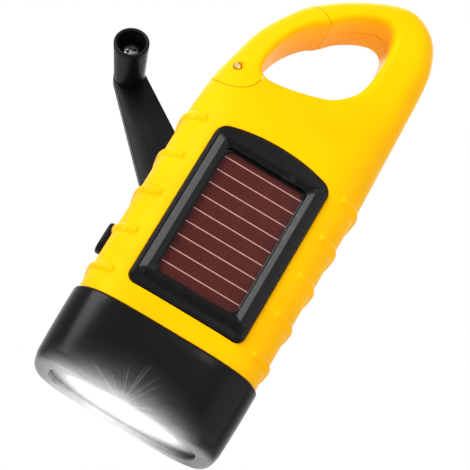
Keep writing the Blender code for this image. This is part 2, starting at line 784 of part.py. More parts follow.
def rib(side, z, start_y, end_y):
    """One grip rib round the side wall, between two depths."""
    line = []
    steps = 60
    for step in range(steps + 1):
        along = -cos(pi * step / steps)
        y = along * CASE_HALF_THICKNESS
        x = side * CASE_HALF_WIDTH * (1 - abs(along) ** SECTION_POWER) ** (1 / SECTION_POWER)
        if start_y <= y <= end_y and abs(x) >= RIB_REACH_SHARE * CASE_HALF_WIDTH:
            line.append((x, y))
    path = even_points(line, RIB_STEPS)
    rings = []
    last = len(path) - 1
    for index, (x, y) in enumerate(path):
        before, after = path[max(index - 1, 0)], path[min(index + 1, last)]
        tangent = Vector((after[0] - before[0], after[1] - before[1])).normalized()
        outward = Vector((tangent.y, -tangent.x)) * side
        size = RIB_END_SHARE if index in (0, last) else 1.0
        ring = []
        for step in range(8):
            angle = 2 * pi * (step + 0.5) / 8
            out = (RIB_PROUD + RIB_SUNK) * size * cos(angle) - RIB_SUNK
            up = RIB_HALF_HEIGHT * size * sin(angle)
            ring.append((x + outward.x * out, y + outward.y * out, z + up))
        rings.append(ring)
    return loft("rib", rings)


def ribs():
    found = []
    button_rib = min(
        range(RIB_COUNT), key=lambda number: abs(RIB_FIRST + number * RIB_PITCH - BUTTON_HEIGHT)
    )
    for number in range(RIB_COUNT):
        z = HEAD_LENGTH + RIB_FIRST + number * RIB_PITCH
        found.append(rib(1, z, -CASE_HALF_THICKNESS, CASE_HALF_THICKNESS))
        if number == button_rib:
            found.append(rib(-1, z, -CASE_HALF_THICKNESS, -BUTTON_BARE))
            found.append(rib(-1, z, BUTTON_BARE, CASE_HALF_THICKNESS))
        else:
            found.append(rib(-1, z, -CASE_HALF_THICKNESS, CASE_HALF_THICKNESS))
    return group("ribs", found, None, None)


def gate_region(gap):
    """Outline of the gate's part of the ring, grown by a gap for the cut in the case."""
    pin = (GATE_PIN_X, GATE_PIN_Z)
    foot = GATE_FOOT_RADIUS + gap
    tip = GATE_LENGTH + gap
    outline = []
    steps = 28
    for step in range(steps + 1):
        angle = GATE_FOOT_START + (GATE_FOOT_END - GATE_FOOT_START) * step / steps
        outline.append((pin[0] + foot * cos(angle), pin[1] + foot * sin(angle)))
    start = GATE_FOOT_END - 2 * pi
    for step in range(steps + 1):
        angle = start + (GATE_TIP_END - start) * step / steps
        outline.append((pin[0] + tip * cos(angle), pin[1] + tip * sin(angle)))
    outline.append((pin[0] - tip, pin[1] + tip * sin(GATE_TIP_END)))
    outline.append((pin[0] - tip, pin[1] + foot * sin(GATE_FOOT_START)))
    return outline


def gate_slot_radius():
    return gate_tongue_radius() + REST_GAP


def gate_tongue_radius():
    """The case's tongue reaches past the cut round the gate's foot, so that it stays on the case."""
    return GATE_FOOT_RADIUS + 2 * REST_GAP


def gate_spring_half():
    return GATE_SPRING_PITCH * GATE_SPRING_TURNS / 2


def spring_pocket():
    """Space for the coil and its two legs in the case's tongue."""
    pin = (GATE_PIN_X, GATE_PIN_Z)
    to_case, to_gate = GATE_SPRING_CASE_ANGLE, GATE_SPRING_GATE_ANGLE
    half = gate_spring_half()
    room = GATE_SPRING_WIRE + REST_GAP
    coil = turned(
        "pocket",
        ((GATE_SPRING_RADIUS + 2 * room, -half - room), (GATE_SPRING_RADIUS + 2 * room, half + room)),
        20, pin,
    )
    reach = GATE_FOOT_RADIUS + OVERRUN
    first, last = to_gate + GATE_SPRING_PLAY, to_gate - GATE_TRAVEL - GATE_SPRING_PLAY
    turns = [first + (last - first) * step / 5 for step in range(6)]
    sweep = [pin] + [(pin[0] + reach * cos(angle), pin[1] + reach * sin(angle)) for angle in turns]
    join(coil, prism("slot", sweep, half - room, half + room))
    leg = GATE_FOOT_RADIUS - REST_GAP
    side = room
    along, across = Vector((cos(to_case), sin(to_case))), Vector((-sin(to_case), cos(to_case)))
    corners = [
        Vector(pin) - across * side, Vector(pin) + along * leg - across * side,
        Vector(pin) + along * leg + across * side, Vector(pin) + across * side,
    ]
    join(coil, prism("slot", [tuple(corner) for corner in corners], -half - room, -half + room))
    return coil


def make_gate_spring(parent, look):
    pin = (GATE_PIN_X, GATE_PIN_Z)
    to_case, to_gate = GATE_SPRING_CASE_ANGLE, GATE_SPRING_GATE_ANGLE
    half = gate_spring_half()
    turn = 2 * pi * GATE_SPRING_TURNS + (to_gate - to_case)
    steps = 10 * GATE_SPRING_TURNS + 4
    leg_case = GATE_FOOT_RADIUS - 4 * REST_GAP
    leg_gate = gate_slot_radius() + 4 * REST_GAP
    path = [(pin[0] + leg_case * cos(to_case), -half, pin[1] + leg_case * sin(to_case))]
    for step in range(steps + 1):
        angle = to_case + turn * step / steps
        path.append((
            pin[0] + GATE_SPRING_RADIUS * cos(angle), -half + 2 * half * step / steps,
            pin[1] + GATE_SPRING_RADIUS * sin(angle),
        ))
    path.append((pin[0] + leg_gate * cos(to_gate), half, pin[1] + leg_gate * sin(to_gate)))
    print_least_gap("gate_spring", path, GATE_SPRING_WIRE, 8)
    return wire("gate_spring", path, GATE_SPRING_WIRE, look, parent)


def cavity():
    """The hollow of the case."""
    rear = CASE_HALF_THICKNESS - CASE_WALL
    front = CASE_HALF_THICKNESS - CASE_FRONT_WALL
    neck_width = CASE_HALF_WIDTH - NECK_INSET - CASE_WALL
    neck_depth = CASE_HALF_THICKNESS - NECK_INSET - CASE_WALL
    top = HOLE_BOTTOM_Z - CAVITY_TOP_BELOW_HOLE
    opened = HEAD_LENGTH + REST_GAP + CASE_WALL

    def hollow(half_width, front_depth, rear_depth, z):
        return [
            (x, y * (front_depth if y < 0 else rear_depth), z) for x, y, z in section(half_width, 1.0, z)
        ]

    rings = [
        hollow(neck_width, neck_depth, neck_depth, NECK_END_Z - OVERRUN),
        hollow(neck_width, neck_depth, neck_depth, opened),
        hollow(INNER_HALF_WIDTH, front, rear, opened),
        hollow(INNER_HALF_WIDTH, front, rear, SHOULDER_Z - NARROWING_START),
    ]
    for share in (0.5, 1.0):
        z = SHOULDER_Z - NARROWING_START + share * (top - SHOULDER_Z + NARROWING_START)
        loss = (1 - narrowing(z)) * (CASE_HALF_THICKNESS - RING_HALF_THICKNESS) + RING_HALF_THICKNESS
        loss = CASE_HALF_THICKNESS - loss
        width = INNER_HALF_WIDTH - share * CASE_WALL
        rings.append(hollow(width, front - loss - share * CASE_WALL, rear - loss - share * CASE_WALL, z))
    made = loft("cavity", rings)
    keep = GATE_FOOT_RADIUS + REST_GAP + CASE_WALL
    far = CASE_HALF_THICKNESS + OVERRUN
    return cut(made, drill(keep, -far, far, (GATE_PIN_X, GATE_PIN_Z), 32))


def half_space(side):
    """Everything on one side of the parting plane."""
    far = CASE_HALF_THICKNESS + OVERRUN
    wide = CASE_HALF_WIDTH + OVERRUN
    top = SHOULDER_Z + RING_HEIGHT + OVERRUN
    low, high = sorted((side * HALF_GAP, side * far))
    return box("half", (-wide, low, NECK_END_Z - OVERRUN), (wide, high, top))


def case_screw_places():
    return [(x, HEAD_LENGTH + z) for x, z in CASE_SCREW_PLACES]


def drill(radius, start, end, centre, count=16):
    return turned("drill", ((radius, start), (radius, end)), count, centre)


def button_opening():
    z = HEAD_LENGTH + BUTTON_HEIGHT
    outline = rounded_box(
        BUTTON_HALF_WIDTH + REST_GAP, z - BUTTON_HALF_LENGTH - REST_GAP, z + BUTTON_HALF_LENGTH + REST_GAP,
        BUTTON_CORNER + REST_GAP,
    )
    return prism("opening", outline, -CASE_HALF_WIDTH - OVERRUN, -INNER_HALF_WIDTH + OVERRUN / 2, axis="x")


def bezel_outline(grown):
    bottom = HEAD_LENGTH + BEZEL_BOTTOM
    return rounded_box(
        BEZEL_HALF_WIDTH + grown, bottom - grown, bottom + BEZEL_SIDE_HEIGHT + grown,
        BEZEL_CORNER + grown, top_corner=BEZEL_TOP_CORNER + grown, rise=BEZEL_ARCH_RISE,
    )


def cell_outline(grown):
    bottom = HEAD_LENGTH + CELL_BOTTOM
    return rounded_box(
        CELL_HALF_WIDTH + grown, bottom - grown, bottom + CELL_HEIGHT + grown, CELL_CORNER + grown / 2,
    )


def cell_levels():
    """Depths of the cell's face and back."""
    face = -CASE_HALF_THICKNESS + CELL_DEPTH
    return face, face + CELL_THICKNESS


def solar_cable_place():
    return (0.0, HEAD_LENGTH + CELL_BOTTOM + CELL_HEIGHT - SOLAR_CABLE_BELOW_CELL_TOP)


def switch_start():
    """Outer face of the switch, behind the button's flange."""
    return flange_face() + BUTTON_FLANGE + SWITCH_BACK


def flange_face():
    """Where the button's flange begins, behind the wall, which is a little curved."""
    return -INNER_HALF_WIDTH + 2 * REST_GAP


def board_span():
    """Height of the main board's ends: it starts where the hollow is at its full width."""
    bottom = HEAD_LENGTH + CASE_WALL + 2 * REST_GAP
    return bottom, bottom + MAIN_BOARD_HEIGHT


def front_keeps():
    """Posts and columns that the hollow leaves standing in the front shell."""
    far = -CASE_HALF_THICKNESS - OVERRUN
    radius = CASE_SCREW_RADIUS + REST_GAP / 2 + CASE_COLUMN_WALL
    kept = [drill(radius, far, OVERRUN, place, 16) for place in case_screw_places()]
    bottom, top = board_span()
    reach = MAIN_BOARD_HALF_WIDTH - BOARD_POST_INSET
    for x in (-reach, reach):
        for z in (bottom + BOARD_POST_INSET, top - BOARD_POST_INSET):
            kept.append(drill(BOARD_POST_RADIUS, far, BOARD_FRONT_Y - REST_GAP, (x, z), 12))
    z = HEAD_LENGTH + BUTTON_HEIGHT
    start = switch_start()
    kept.append(box(
        "switch_post", (start + REST_GAP, far, z - SWITCH_HALF),
        (start + SWITCH_LENGTH - REST_GAP, -SWITCH_HALF - REST_GAP, z + SWITCH_HALF),
    ))
    return group("kept", kept, None, None)


def make_front_shell(frame, parent, look):
    shell = copy_of(frame, "front_shell", look, parent)
    cross(shell, half_space(-1))
    hollow = cavity()
    cut(hollow, front_keeps())
    cut(shell, hollow)
    holes = [
        drill(CASE_SCREW_RADIUS + REST_GAP / 2, -CASE_SCREW_GRIP - REST_GAP, OVERRUN, place, 12)
        for place in case_screw_places()
    ]
    _, back = cell_levels()
    holes.append(drill(
        CABLE_RADIUS + REST_GAP, back - OVERRUN / 2, back + OVERRUN / 2, solar_cable_place(), 12,
    ))
    cut(shell, group("holes", holes, None, None))
    front = -CASE_HALF_THICKNESS - OVERRUN
    cut(shell, prism("pocket", bezel_outline(REST_GAP), front, -CASE_HALF_THICKNESS + BEZEL_SEAT_DEPTH))
    cut(shell, prism("pocket", cell_outline(CELL_BORDER + REST_GAP), front, back + REST_GAP))
    cut(shell, button_opening())
    return shell


def post_places():
    return [(x, HUB_Z + z) for x, z in POST_PLACES]


def rear_keeps():
    """Bosses, posts and columns that the hollow leaves standing in the rear shell."""
    far = CASE_HALF_THICKNESS + OVERRUN
    radius = CASE_SCREW_HEAD + REST_GAP / 2 + CASE_COLUMN_WALL
    kept = [drill(radius, -OVERRUN, far, place) for place in case_screw_places()]
    kept.append(drill(BOSS_RADIUS, BOSS_UNDER_Y, far, (0.0, HUB_Z), 32))
    radius = AXLE_RADIUS + REST_GAP / 2 + AXLE_BOSS_WALL
    kept += [drill(radius, BOSS_UNDER_Y, far, gear_places()[name], 14) for name in ("a", "b")]
    kept += [drill(POST_RADIUS, PLATE_TOP_Y + REST_GAP, far, place, 14) for place in post_places()]
    return group("kept", kept, None, None)


def make_rear_shell(frame, parent, look):
    shell = copy_of(frame, "rear_shell", look, parent)
    cross(shell, half_space(1))
    hollow = cavity()
    cut(hollow, rear_keeps())
    cut(shell, hollow)
    hub = (0.0, HUB_Z)
    cut(shell, drill(HUB_RADIUS + REST_GAP, RECESS_FLOOR_Y, BACK_Y + OVERRUN, hub, 32))
    holes = [drill(bush_radius() + REST_GAP / 2, BOSS_UNDER_Y - OVERRUN, BACK_Y + OVERRUN, hub, 20)]
    for name in ("a", "b"):
        holes.append(drill(
            AXLE_RADIUS + REST_GAP / 2, BOSS_UNDER_Y - OVERRUN / 2, BOSS_UNDER_Y + AXLE_SOCKET,
            gear_places()[name], 12,
        ))
    for place in post_places():
        holes.append(drill(
            PLATE_SCREW_RADIUS + REST_GAP / 2, PLATE_TOP_Y - OVERRUN / 2, PLATE_TOP_Y + PLATE_SCREW_LENGTH,
            place, 12,
        ))
    holes += [counterbore(*place) for place in case_screw_places()]
    cut(shell, group("holes", holes, None, None))
    cut(shell, button_opening())
    return shell


def counterbore(x, z):
    """Clearance hole for a case screw, wide enough for its head from the back."""
    narrow = CASE_SCREW_RADIUS + REST_GAP / 2
    wide = CASE_SCREW_HEAD + REST_GAP / 2
    return turned("drill", (
        (narrow, -OVERRUN / 2), (narrow, CASE_SCREW_HEAD_LEVEL - REST_GAP),
        (wide, CASE_SCREW_HEAD_LEVEL - REST_GAP), (wide, CASE_HALF_THICKNESS + OVERRUN),
    ), 14, (x, z))


def make_case(parent, looks):
    blank = case_blank()
    join(blank, ribs())
    pin = (GATE_PIN_X, GATE_PIN_Z)
    far = CASE_HALF_THICKNESS + OVERRUN
    gate = copy_of(blank, "carabiner_gate", looks["yellow"], parent)
    cross(gate, prism("region", gate_region(0.0), -far, far))
    slot = gate_slot_radius()
    cut(gate, drill(slot, -GATE_TONGUE_HALF - REST_GAP, GATE_TONGUE_HALF + REST_GAP, pin, 40))
    face = surface_height(*pin)
    cut(gate, drill(GATE_PIN_RADIUS + RUN_GAP, -far, far, pin))
    dimple = GATE_PIN_RADIUS * GATE_DIMPLE_SHARE
    dimples = [drill(dimple, side * (face - GATE_PIN_SUNK), side * far, pin) for side in (-1, 1)]
    cut(gate, group("dimples", dimples, None, None))
    half, room = gate_spring_half(), GATE_SPRING_WIRE + REST_GAP
    reach = slot + 6 * REST_GAP
    along = Vector((cos(GATE_SPRING_GATE_ANGLE), sin(GATE_SPRING_GATE_ANGLE)))
    across = Vector((-along.y, along.x))
    corners = [
        Vector(pin) + along * (slot - OVERRUN) - across * room, Vector(pin) + along * reach - across * room,
        Vector(pin) + along * reach + across * room, Vector(pin) + along * (slot - OVERRUN) + across * room,
    ]
    cut(gate, prism("notch", [tuple(corner) for corner in corners], half - room, half + room))

    tool = prism("tool", gate_region(REST_GAP), -far, far)
    cut(tool, drill(gate_tongue_radius(), -GATE_TONGUE_HALF, GATE_TONGUE_HALF, pin, 40))
    cut(blank, tool)
    cut(blank, drill(GATE_PIN_RADIUS + RUN_GAP, -far, far, pin))
    cut(blank, spring_pocket())
    make_front_shell(blank, parent, looks["yellow"])
    make_rear_shell(blank, parent, looks["yellow"])
    drop(blank)

    finish(drill(GATE_PIN_RADIUS, -face + GATE_PIN_SUNK, face - GATE_PIN_SUNK, pin), "gate_pin",
           looks["steel"], parent)
    make_gate_spring(parent, looks["steel"])
    for number, place in enumerate(case_screw_places(), 1):
        turned(f"case_screw_{number}", (
            (CASE_SCREW_RADIUS, -CASE_SCREW_GRIP), (CASE_SCREW_RADIUS, CASE_SCREW_HEAD_LEVEL),
            (CASE_SCREW_HEAD, CASE_SCREW_HEAD_LEVEL),
            (CASE_SCREW_HEAD, CASE_SCREW_HEAD_LEVEL + CASE_SCREW_HEAD_HEIGHT),
        ), 12, place, looks["steel"], parent)


# Lamp

def stadium(half_length, radius, z):
    """Ring of two half circles, at the ends of a line along X."""
    ring = []
    for side in (1, -1):
        for step in range(13):
            angle = pi * step / 12 - side * pi / 2
            ring.append((side * half_length + radius * cos(angle), radius * sin(angle), z))
    return ring


def lamp_levels():
    """Heights above the rim: each piece's front and back face."""
    lens = (LENS_RECESS, LENS_RECESS + LENS_THICKNESS)
    seal = (lens[1] + REST_GAP, lens[1] + REST_GAP + SEAL_THICKNESS)
    reflector = (seal[1] + REST_GAP, seal[1] + REST_GAP + REFLECTOR_DEPTH)
    board = (reflector[1] + REST_GAP, reflector[1] + REST_GAP + BOARD_THICKNESS)
    return {"lens": lens, "seal": seal, "reflector": reflector, "board": board}


def make_lamp(parent, looks):
    rings = []
    steps = 4
    width = HEAD_HALF_WIDTH - HEAD_TAPER
    depth = HEAD_HALF_THICKNESS - HEAD_TAPER
    for step in range(steps + 1):
        angle = pi / 2 * step / steps
        inset = HEAD_NOSE_INSET * (1 - sin(angle))
        rings.append(section(width - inset, depth - inset, HEAD_NOSE_LENGTH * (1 - cos(angle))))
    rings.append(section(HEAD_HALF_WIDTH, HEAD_HALF_THICKNESS, HEAD_LENGTH - HEAD_NOSE_LENGTH))
    rings.append(section(HEAD_HALF_WIDTH, HEAD_HALF_THICKNESS, HEAD_LENGTH))
    head = loft("lamp_head", rings, looks["black"], parent)
    bore_width = LENS_HALF_WIDTH + LENS_BORDER + REST_GAP
    bore_height = LENS_HALF_HEIGHT + LENS_BORDER + REST_GAP
    seat_z = NECK_END_Z - REST_GAP
    neck_width = CASE_HALF_WIDTH - NECK_INSET + REST_GAP
    neck_depth = CASE_HALF_THICKNESS - NECK_INSET + REST_GAP
    cut(head, loft("bore", [
        section(LENS_HALF_WIDTH, LENS_HALF_HEIGHT, -OVERRUN, LENS_POWER),
        section(LENS_HALF_WIDTH, LENS_HALF_HEIGHT, LIP_THICKNESS, LENS_POWER),
        section(bore_width, bore_height, LIP_THICKNESS, LENS_POWER),
        section(bore_width, bore_height, seat_z, LENS_POWER),
        section(neck_width, neck_depth, seat_z),
        section(neck_width, neck_depth, HEAD_LENGTH + OVERRUN),
    ]))
    levels = lamp_levels()
    lens_width, lens_height = LENS_HALF_WIDTH + LENS_BORDER, LENS_HALF_HEIGHT + LENS_BORDER
    front, back = levels["lens"]
    middle_width, middle_height = LENS_HALF_WIDTH - REST_GAP, LENS_HALF_HEIGHT - REST_GAP
    loft("lens", [
        section(middle_width, middle_height, front, LENS_POWER),
        section(middle_width, middle_height, front + LENS_STEP, LENS_POWER),
        section(lens_width, lens_height, front + LENS_STEP, LENS_POWER),
        section(lens_width, lens_height, back, LENS_POWER),
    ], looks["clear"], parent)
    seal = loft("lens_seal", [
        section(lens_width, lens_height, z, LENS_POWER) for z in levels["seal"]
    ], looks["rubber"], parent)
    cut(seal, loft("bore", [
        section(LENS_HALF_WIDTH + REST_GAP / 2, LENS_HALF_HEIGHT + REST_GAP / 2, z, LENS_POWER)
        for z in (levels["seal"][0] - OVERRUN, levels["seal"][1] + OVERRUN)
    ]))
    front, back = levels["reflector"]
    places = [((number - (LED_COUNT - 1) / 2) * CUP_PITCH, 0.0) for number in range(LED_COUNT)]
    narrow = LED_RADIUS + LED_FLANGE + REST_GAP
    reflector = loft("reflector", [
        section(lens_width, lens_height, front, LENS_POWER),
        section(lens_width, lens_height, front + REFLECTOR_FLANGE, LENS_POWER),
    ], looks["chrome"], parent)
    ends = places[-1][0]
    join(reflector, loft("cup_body", [
        stadium(ends, CUP_RADIUS + CUP_WALL, front + REFLECTOR_FLANGE / 2),
        stadium(ends, narrow + 3 * CUP_WALL, back),
    ]))
    steps = 6
    profile = [(narrow, back + OVERRUN)]
    for step in range(steps + 1):
        share = step / steps
        profile.append((narrow + (CUP_RADIUS - narrow) * sqrt(share), back - (back - front) * share))
    profile.append((CUP_RADIUS, front - OVERRUN))
    cups = [turned("cup", profile, 20, place, axis="z") for place in places]
    cut(reflector, group("cups", cups, None, None))
    dome = back - LED_LENGTH + LED_RADIUS
    flange = back - 2 * LED_FLANGE
    profile = [(0, dome - LED_RADIUS)]
    for step in range(1, 4):
        angle = pi / 2 * step / 3
        profile.append((LED_RADIUS * sin(angle), dome - LED_RADIUS * cos(angle)))
    profile += [(LED_RADIUS, flange), (LED_RADIUS + LED_FLANGE, flange), (LED_RADIUS + LED_FLANGE, back)]
    for number, place in enumerate(places, 1):
        turned(f"led_{number}", profile, 14, place, looks["led"], parent, axis="z")
    loft("led_board", [
        section(lens_width, lens_height, z, LENS_POWER) for z in levels["board"]
    ], looks["board"], parent)


# Solar cell

def make_solar(parent, looks):
    face, back = cell_levels()
    prism("solar_cell", cell_outline(CELL_BORDER), face, back, looks["cell"], parent)
    front = -CASE_HALF_THICKNESS - BEZEL_PROUD
    seat = -CASE_HALF_THICKNESS + BEZEL_SEAT_DEPTH - REST_GAP
    bezel = prism("solar_bezel", bezel_outline(0.0), front, seat, looks["black"], parent)
    cut(bezel, prism("cell_room", cell_outline(CELL_BORDER + REST_GAP), face - REST_GAP, seat + OVERRUN))
    bottom = HEAD_LENGTH + CELL_BOTTOM
    window = []
    flare_rise = (face - front) + OVERRUN
    flare = WINDOW_FLARE * flare_rise / (face - front)
    for y, grown in ((face + OVERRUN, 0.0), (face, 0.0), (face - flare_rise, flare)):
        outline = rounded_box(
            CELL_HALF_WIDTH + grown, bottom - grown, bottom + CELL_HEIGHT + grown, CELL_CORNER,
        )
        window.append([(x, y, z) for x, z in outline])
    cut(bezel, loft("window", window))
    finish(drill(CABLE_RADIUS, back + REST_GAP, BOARD_FRONT_Y - REST_GAP, solar_cable_place(), 10),
           "solar_cable", looks["red_wire"], parent)


# Gears

def gear_places():
    """Axes of the train in the XZ plane, each a centre distance from the one before."""
    first = GEAR_MODULE * (CRANK_TEETH + PINION_TEETH) / 2
    second = GEAR_MODULE * (WHEEL_TEETH + PINION_TEETH) / 2
    a = (first * cos(GEAR_A_DIRECTION), HUB_Z + first * sin(GEAR_A_DIRECTION))
    b = (a[0] + second * cos(GEAR_B_DIRECTION), a[1] + second * sin(GEAR_B_DIRECTION))
    rotor = (b[0] + second * cos(ROTOR_DIRECTION), b[1] + second * sin(ROTOR_DIRECTION))
    return {"a": a, "b": b, "rotor": rotor}


def mesh_phase(direction, teeth, phase, other_teeth):
    """Turn of a gear that puts its space where the driving gear has a tooth."""
    pitch, other_pitch = 2 * pi / teeth, 2 * pi / other_teeth
    share = ((direction - phase) / pitch) % 1.0
    return direction + pi - other_pitch * (0.5 - share)


def involute(angle):
    return tan(angle) - angle


def gear_outline(teeth, phase, centre):
    """Teeth with an involute's width at the root and at the tip, and straight flanks between."""
    pitch_radius = GEAR_MODULE * teeth / 2
    base = pitch_radius * cos(PRESSURE_ANGLE)
    tip = pitch_radius + ADDENDUM_SHARE * GEAR_MODULE
    root = pitch_radius - DEDENDUM_SHARE * GEAR_MODULE
    tooth = pi * GEAR_MODULE / 2 - TOOTH_THINNING

    def half_angle(radius):
        local = acos(min(base / max(radius, base), 1.0))
        return tooth / (2 * pitch_radius) + involute(PRESSURE_ANGLE) - involute(local)

    outline = []
    for number in range(teeth):
        middle = phase + 2 * pi * number / teeth
        for radius, side in ((root, -1), (tip, -1), (tip, 1), (root, 1)):
            angle = middle + side * half_angle(radius)
            outline.append((centre[0] + radius * cos(angle), centre[1] + radius * sin(angle)))
    return outline


def square_outline(side, angle, centre):
    reach = side / sqrt(2)
    return [
        (centre[0] + reach * cos(angle + pi / 4 + pi / 2 * step),
         centre[1] + reach * sin(angle + pi / 4 + pi / 2 * step))
        for step in range(4)
    ]


def bush_radius():
    return SPINDLE_RADIUS + RUN_GAP + BUSH_WALL


def make_gears(parent, looks):
    places = gear_places()
    hub = (0.0, HUB_Z)
    phase = 0.0
    crank_gear = prism(
        "crank_gear", gear_outline(CRANK_TEETH, phase, hub), CRANK_GEAR_UNDER_Y, CRANK_GEAR_TOP_Y,
        looks["nylon"], parent,
    )
    cut(crank_gear, prism(
        "drive", square_outline(DRIVE_SQUARE + REST_GAP, CRANK_SWING, hub), CRANK_GEAR_UNDER_Y - OVERRUN,
        CRANK_GEAR_TOP_Y + OVERRUN,
    ))
    pinion_phase = mesh_phase(GEAR_A_DIRECTION, CRANK_TEETH, phase, PINION_TEETH)
    trains = (
        ("gear_a", "a", pinion_phase, WHEEL_A_UNDER_Y, WHEEL_A_TOP_Y),
        ("gear_b", "b", mesh_phase(GEAR_B_DIRECTION, WHEEL_TEETH, phase, PINION_TEETH),
         WHEEL_B_UNDER_Y, WHEEL_B_TOP_Y),
    )
    for name, key, pinion_turn, under, top in trains:
        centre = places[key]
        pinion_end = top + GEAR_SPACE + GEAR_WIDTH
        wheel = prism(name, gear_outline(WHEEL_TEETH, phase, centre), under, top, looks["nylon"], parent)
        join(wheel, prism("pinion", gear_outline(PINION_TEETH, pinion_turn, centre),
                          top - GEAR_WIDTH / 2, pinion_end))
        spacer = AXLE_RADIUS + RUN_GAP + SPACER_WALL
        join(wheel, drill(spacer, PLATE_TOP_Y + REST_GAP, BOSS_UNDER_Y - REST_GAP, centre))
        cut(wheel, drill(AXLE_RADIUS + RUN_GAP, PLATE_TOP_Y, BOSS_UNDER_Y, centre))
    for name, key in (("axle_a", "a"), ("axle_b", "b")):
        axle = drill(AXLE_RADIUS, PLATE_UNDER_Y, BOSS_UNDER_Y + AXLE_SOCKET - REST_GAP, places[key], 12)
        finish(axle, name, looks["steel"], parent)

    centre = places["rotor"]
    rotor_turn = mesh_phase(ROTOR_DIRECTION, WHEEL_TEETH, phase, PINION_TEETH)
    rotor = prism("generator_rotor", gear_outline(PINION_TEETH, rotor_turn, centre), WHEEL_B_UNDER_Y,
                  WHEEL_B_TOP_Y, looks["magnet"], parent)
    magnet_top = CAN_TOP_Y - COIL_SHORT
    join(rotor, drill(ROTOR_SHAFT_RADIUS, CAN_TOP_Y - CAN_DEPTH, WHEEL_B_TOP_Y + REST_GAP, centre, 12))
    join(rotor, drill(MAGNET_RADIUS, magnet_top - MAGNET_LENGTH, magnet_top, centre, 24))


def finish(piece, name, look, parent):
    piece.name = name
    piece.data.name = name
    piece.data.materials.append(look)
    piece.parent = parent
    return piece


def make_generator(parent, looks):
    centre = gear_places()["rotor"]
    under = CAN_TOP_Y - CAN_DEPTH
    can = drill(CAN_RADIUS, under, CAN_TOP_Y, centre, 24)
    cut(can, drill(CAN_RADIUS - CAN_WALL, under + CAN_WALL, CAN_TOP_Y + OVERRUN, centre, 24))
    cut(can, drill(ROTOR_SHAFT_RADIUS + RUN_GAP, under - OVERRUN, under + OVERRUN, centre, 12))
    finish(can, "generator_can", looks["steel"], parent)
    outer = CAN_RADIUS - CAN_WALL - REST_GAP
    tube_ring("generator_coil", outer, outer - COIL_WALL, under + CAN_WALL + REST_GAP,
              CAN_TOP_Y - COIL_SHORT, 24, centre, looks["copper"], parent)

    hull = [(x, z, PLATE_MARGIN) for x, z in post_places()]
    hull += [(*gear_places()[key], PLATE_MARGIN) for key in ("a", "b", "rotor")]
    hull.append((0.0, HUB_Z, PLATE_MARGIN + STUB_RADIUS))
    plate = prism("gearbox_plate", hull_outline(hull), PLATE_UNDER_Y, PLATE_TOP_Y, looks["nylon"], parent)
    holes = [
        drill(PLATE_SCREW_RADIUS + REST_GAP / 2, PLATE_UNDER_Y - OVERRUN, PLATE_TOP_Y + OVERRUN, place, 12)
        for place in post_places()
    ]
    holes += [
        drill(AXLE_RADIUS + REST_GAP / 3, PLATE_UNDER_Y - OVERRUN, PLATE_TOP_Y + OVERRUN,
              gear_places()[key], 12)
        for key in ("a", "b")
    ]
    holes.append(drill(
        ROTOR_SHAFT_RADIUS + RUN_GAP, PLATE_UNDER_Y - OVERRUN, PLATE_TOP_Y + OVERRUN, centre, 12,
    ))
    holes.append(drill(STUB_RADIUS + RUN_GAP, PLATE_UNDER_Y - OVERRUN, PLATE_TOP_Y + OVERRUN, (0.0, HUB_Z)))
    cut(plate, group("holes", holes, None, None))
    seat = PLATE_UNDER_Y - REST_GAP
    for number, place in enumerate(post_places(), 1):
        turned(f"gearbox_screw_{number}", (
            (PLATE_SCREW_HEAD, seat - PLATE_SCREW_HEAD_HEIGHT), (PLATE_SCREW_HEAD, seat),
            (PLATE_SCREW_RADIUS, seat), (PLATE_SCREW_RADIUS, PLATE_TOP_Y + PLATE_SCREW_LENGTH - REST_GAP),
        ), 12, place, looks["steel"], parent)


# Crank: the hub turns about the hub's axis, the arm folds on the hub's pin

def make_crank(parent, looks):
    axis = empty("crank_axis", (0.0, 0.0, HUB_Z), parent, (0.0, -CRANK_SWING, 0.0))
    stub_top = CRANK_GEAR_UNDER_Y - REST_GAP / 2
    shoulder = CRANK_GEAR_TOP_Y + REST_GAP / 2
    hub = turned("crank_hub", (
        (SPINDLE_RADIUS, shoulder), (SPINDLE_RADIUS, HUB_UNDER_Y), (HUB_RADIUS, HUB_UNDER_Y),
        (HUB_RADIUS, HUB_TOP_Y - REST_GAP), (HUB_RADIUS - REST_GAP, HUB_TOP_Y),
    ), 32, look=looks["black"], parent=axis)
    inside = HUB_UNDER_Y + HUB_THICKNESS / 2
    join(hub, prism("drive", square_outline(DRIVE_SQUARE, 0.0, (0.0, 0.0)), stub_top, inside))
    join(hub, drill(STUB_RADIUS, PLATE_UNDER_Y, shoulder, (0.0, 0.0), 12))
    join(hub, lug())
    cut(hub, turned("pin_hole", (
        (FOLD_PIN_RADIUS + RUN_GAP, -LUG_HALF_WIDTH - OVERRUN),
        (FOLD_PIN_RADIUS + RUN_GAP, LUG_HALF_WIDTH + OVERRUN),
    ), 16, (FOLD_PIN_Y, 0.0), axis="x"))

    tube_ring(
        "hub_bush", bush_radius(), SPINDLE_RADIUS + RUN_GAP, BOSS_UNDER_Y, RECESS_FLOOR_Y, 20, (0.0, HUB_Z),
        looks["brass"], parent,
    )
    clip_top = CRANK_GEAR_UNDER_Y - REST_GAP
    tube_ring(
        "hub_circlip", STUB_RADIUS + CIRCLIP_WALL, STUB_RADIUS + RUN_GAP, clip_top - CIRCLIP_THICKNESS,
        clip_top, 20, (0.0, HUB_Z), looks["steel"], parent,
    )

    fold = empty("fold_axis", (0.0, FOLD_PIN_Y, 0.0), axis, (-CRANK_FOLD, 0.0, 0.0))
    make_arm(fold, looks)
    make_knob(fold, looks)


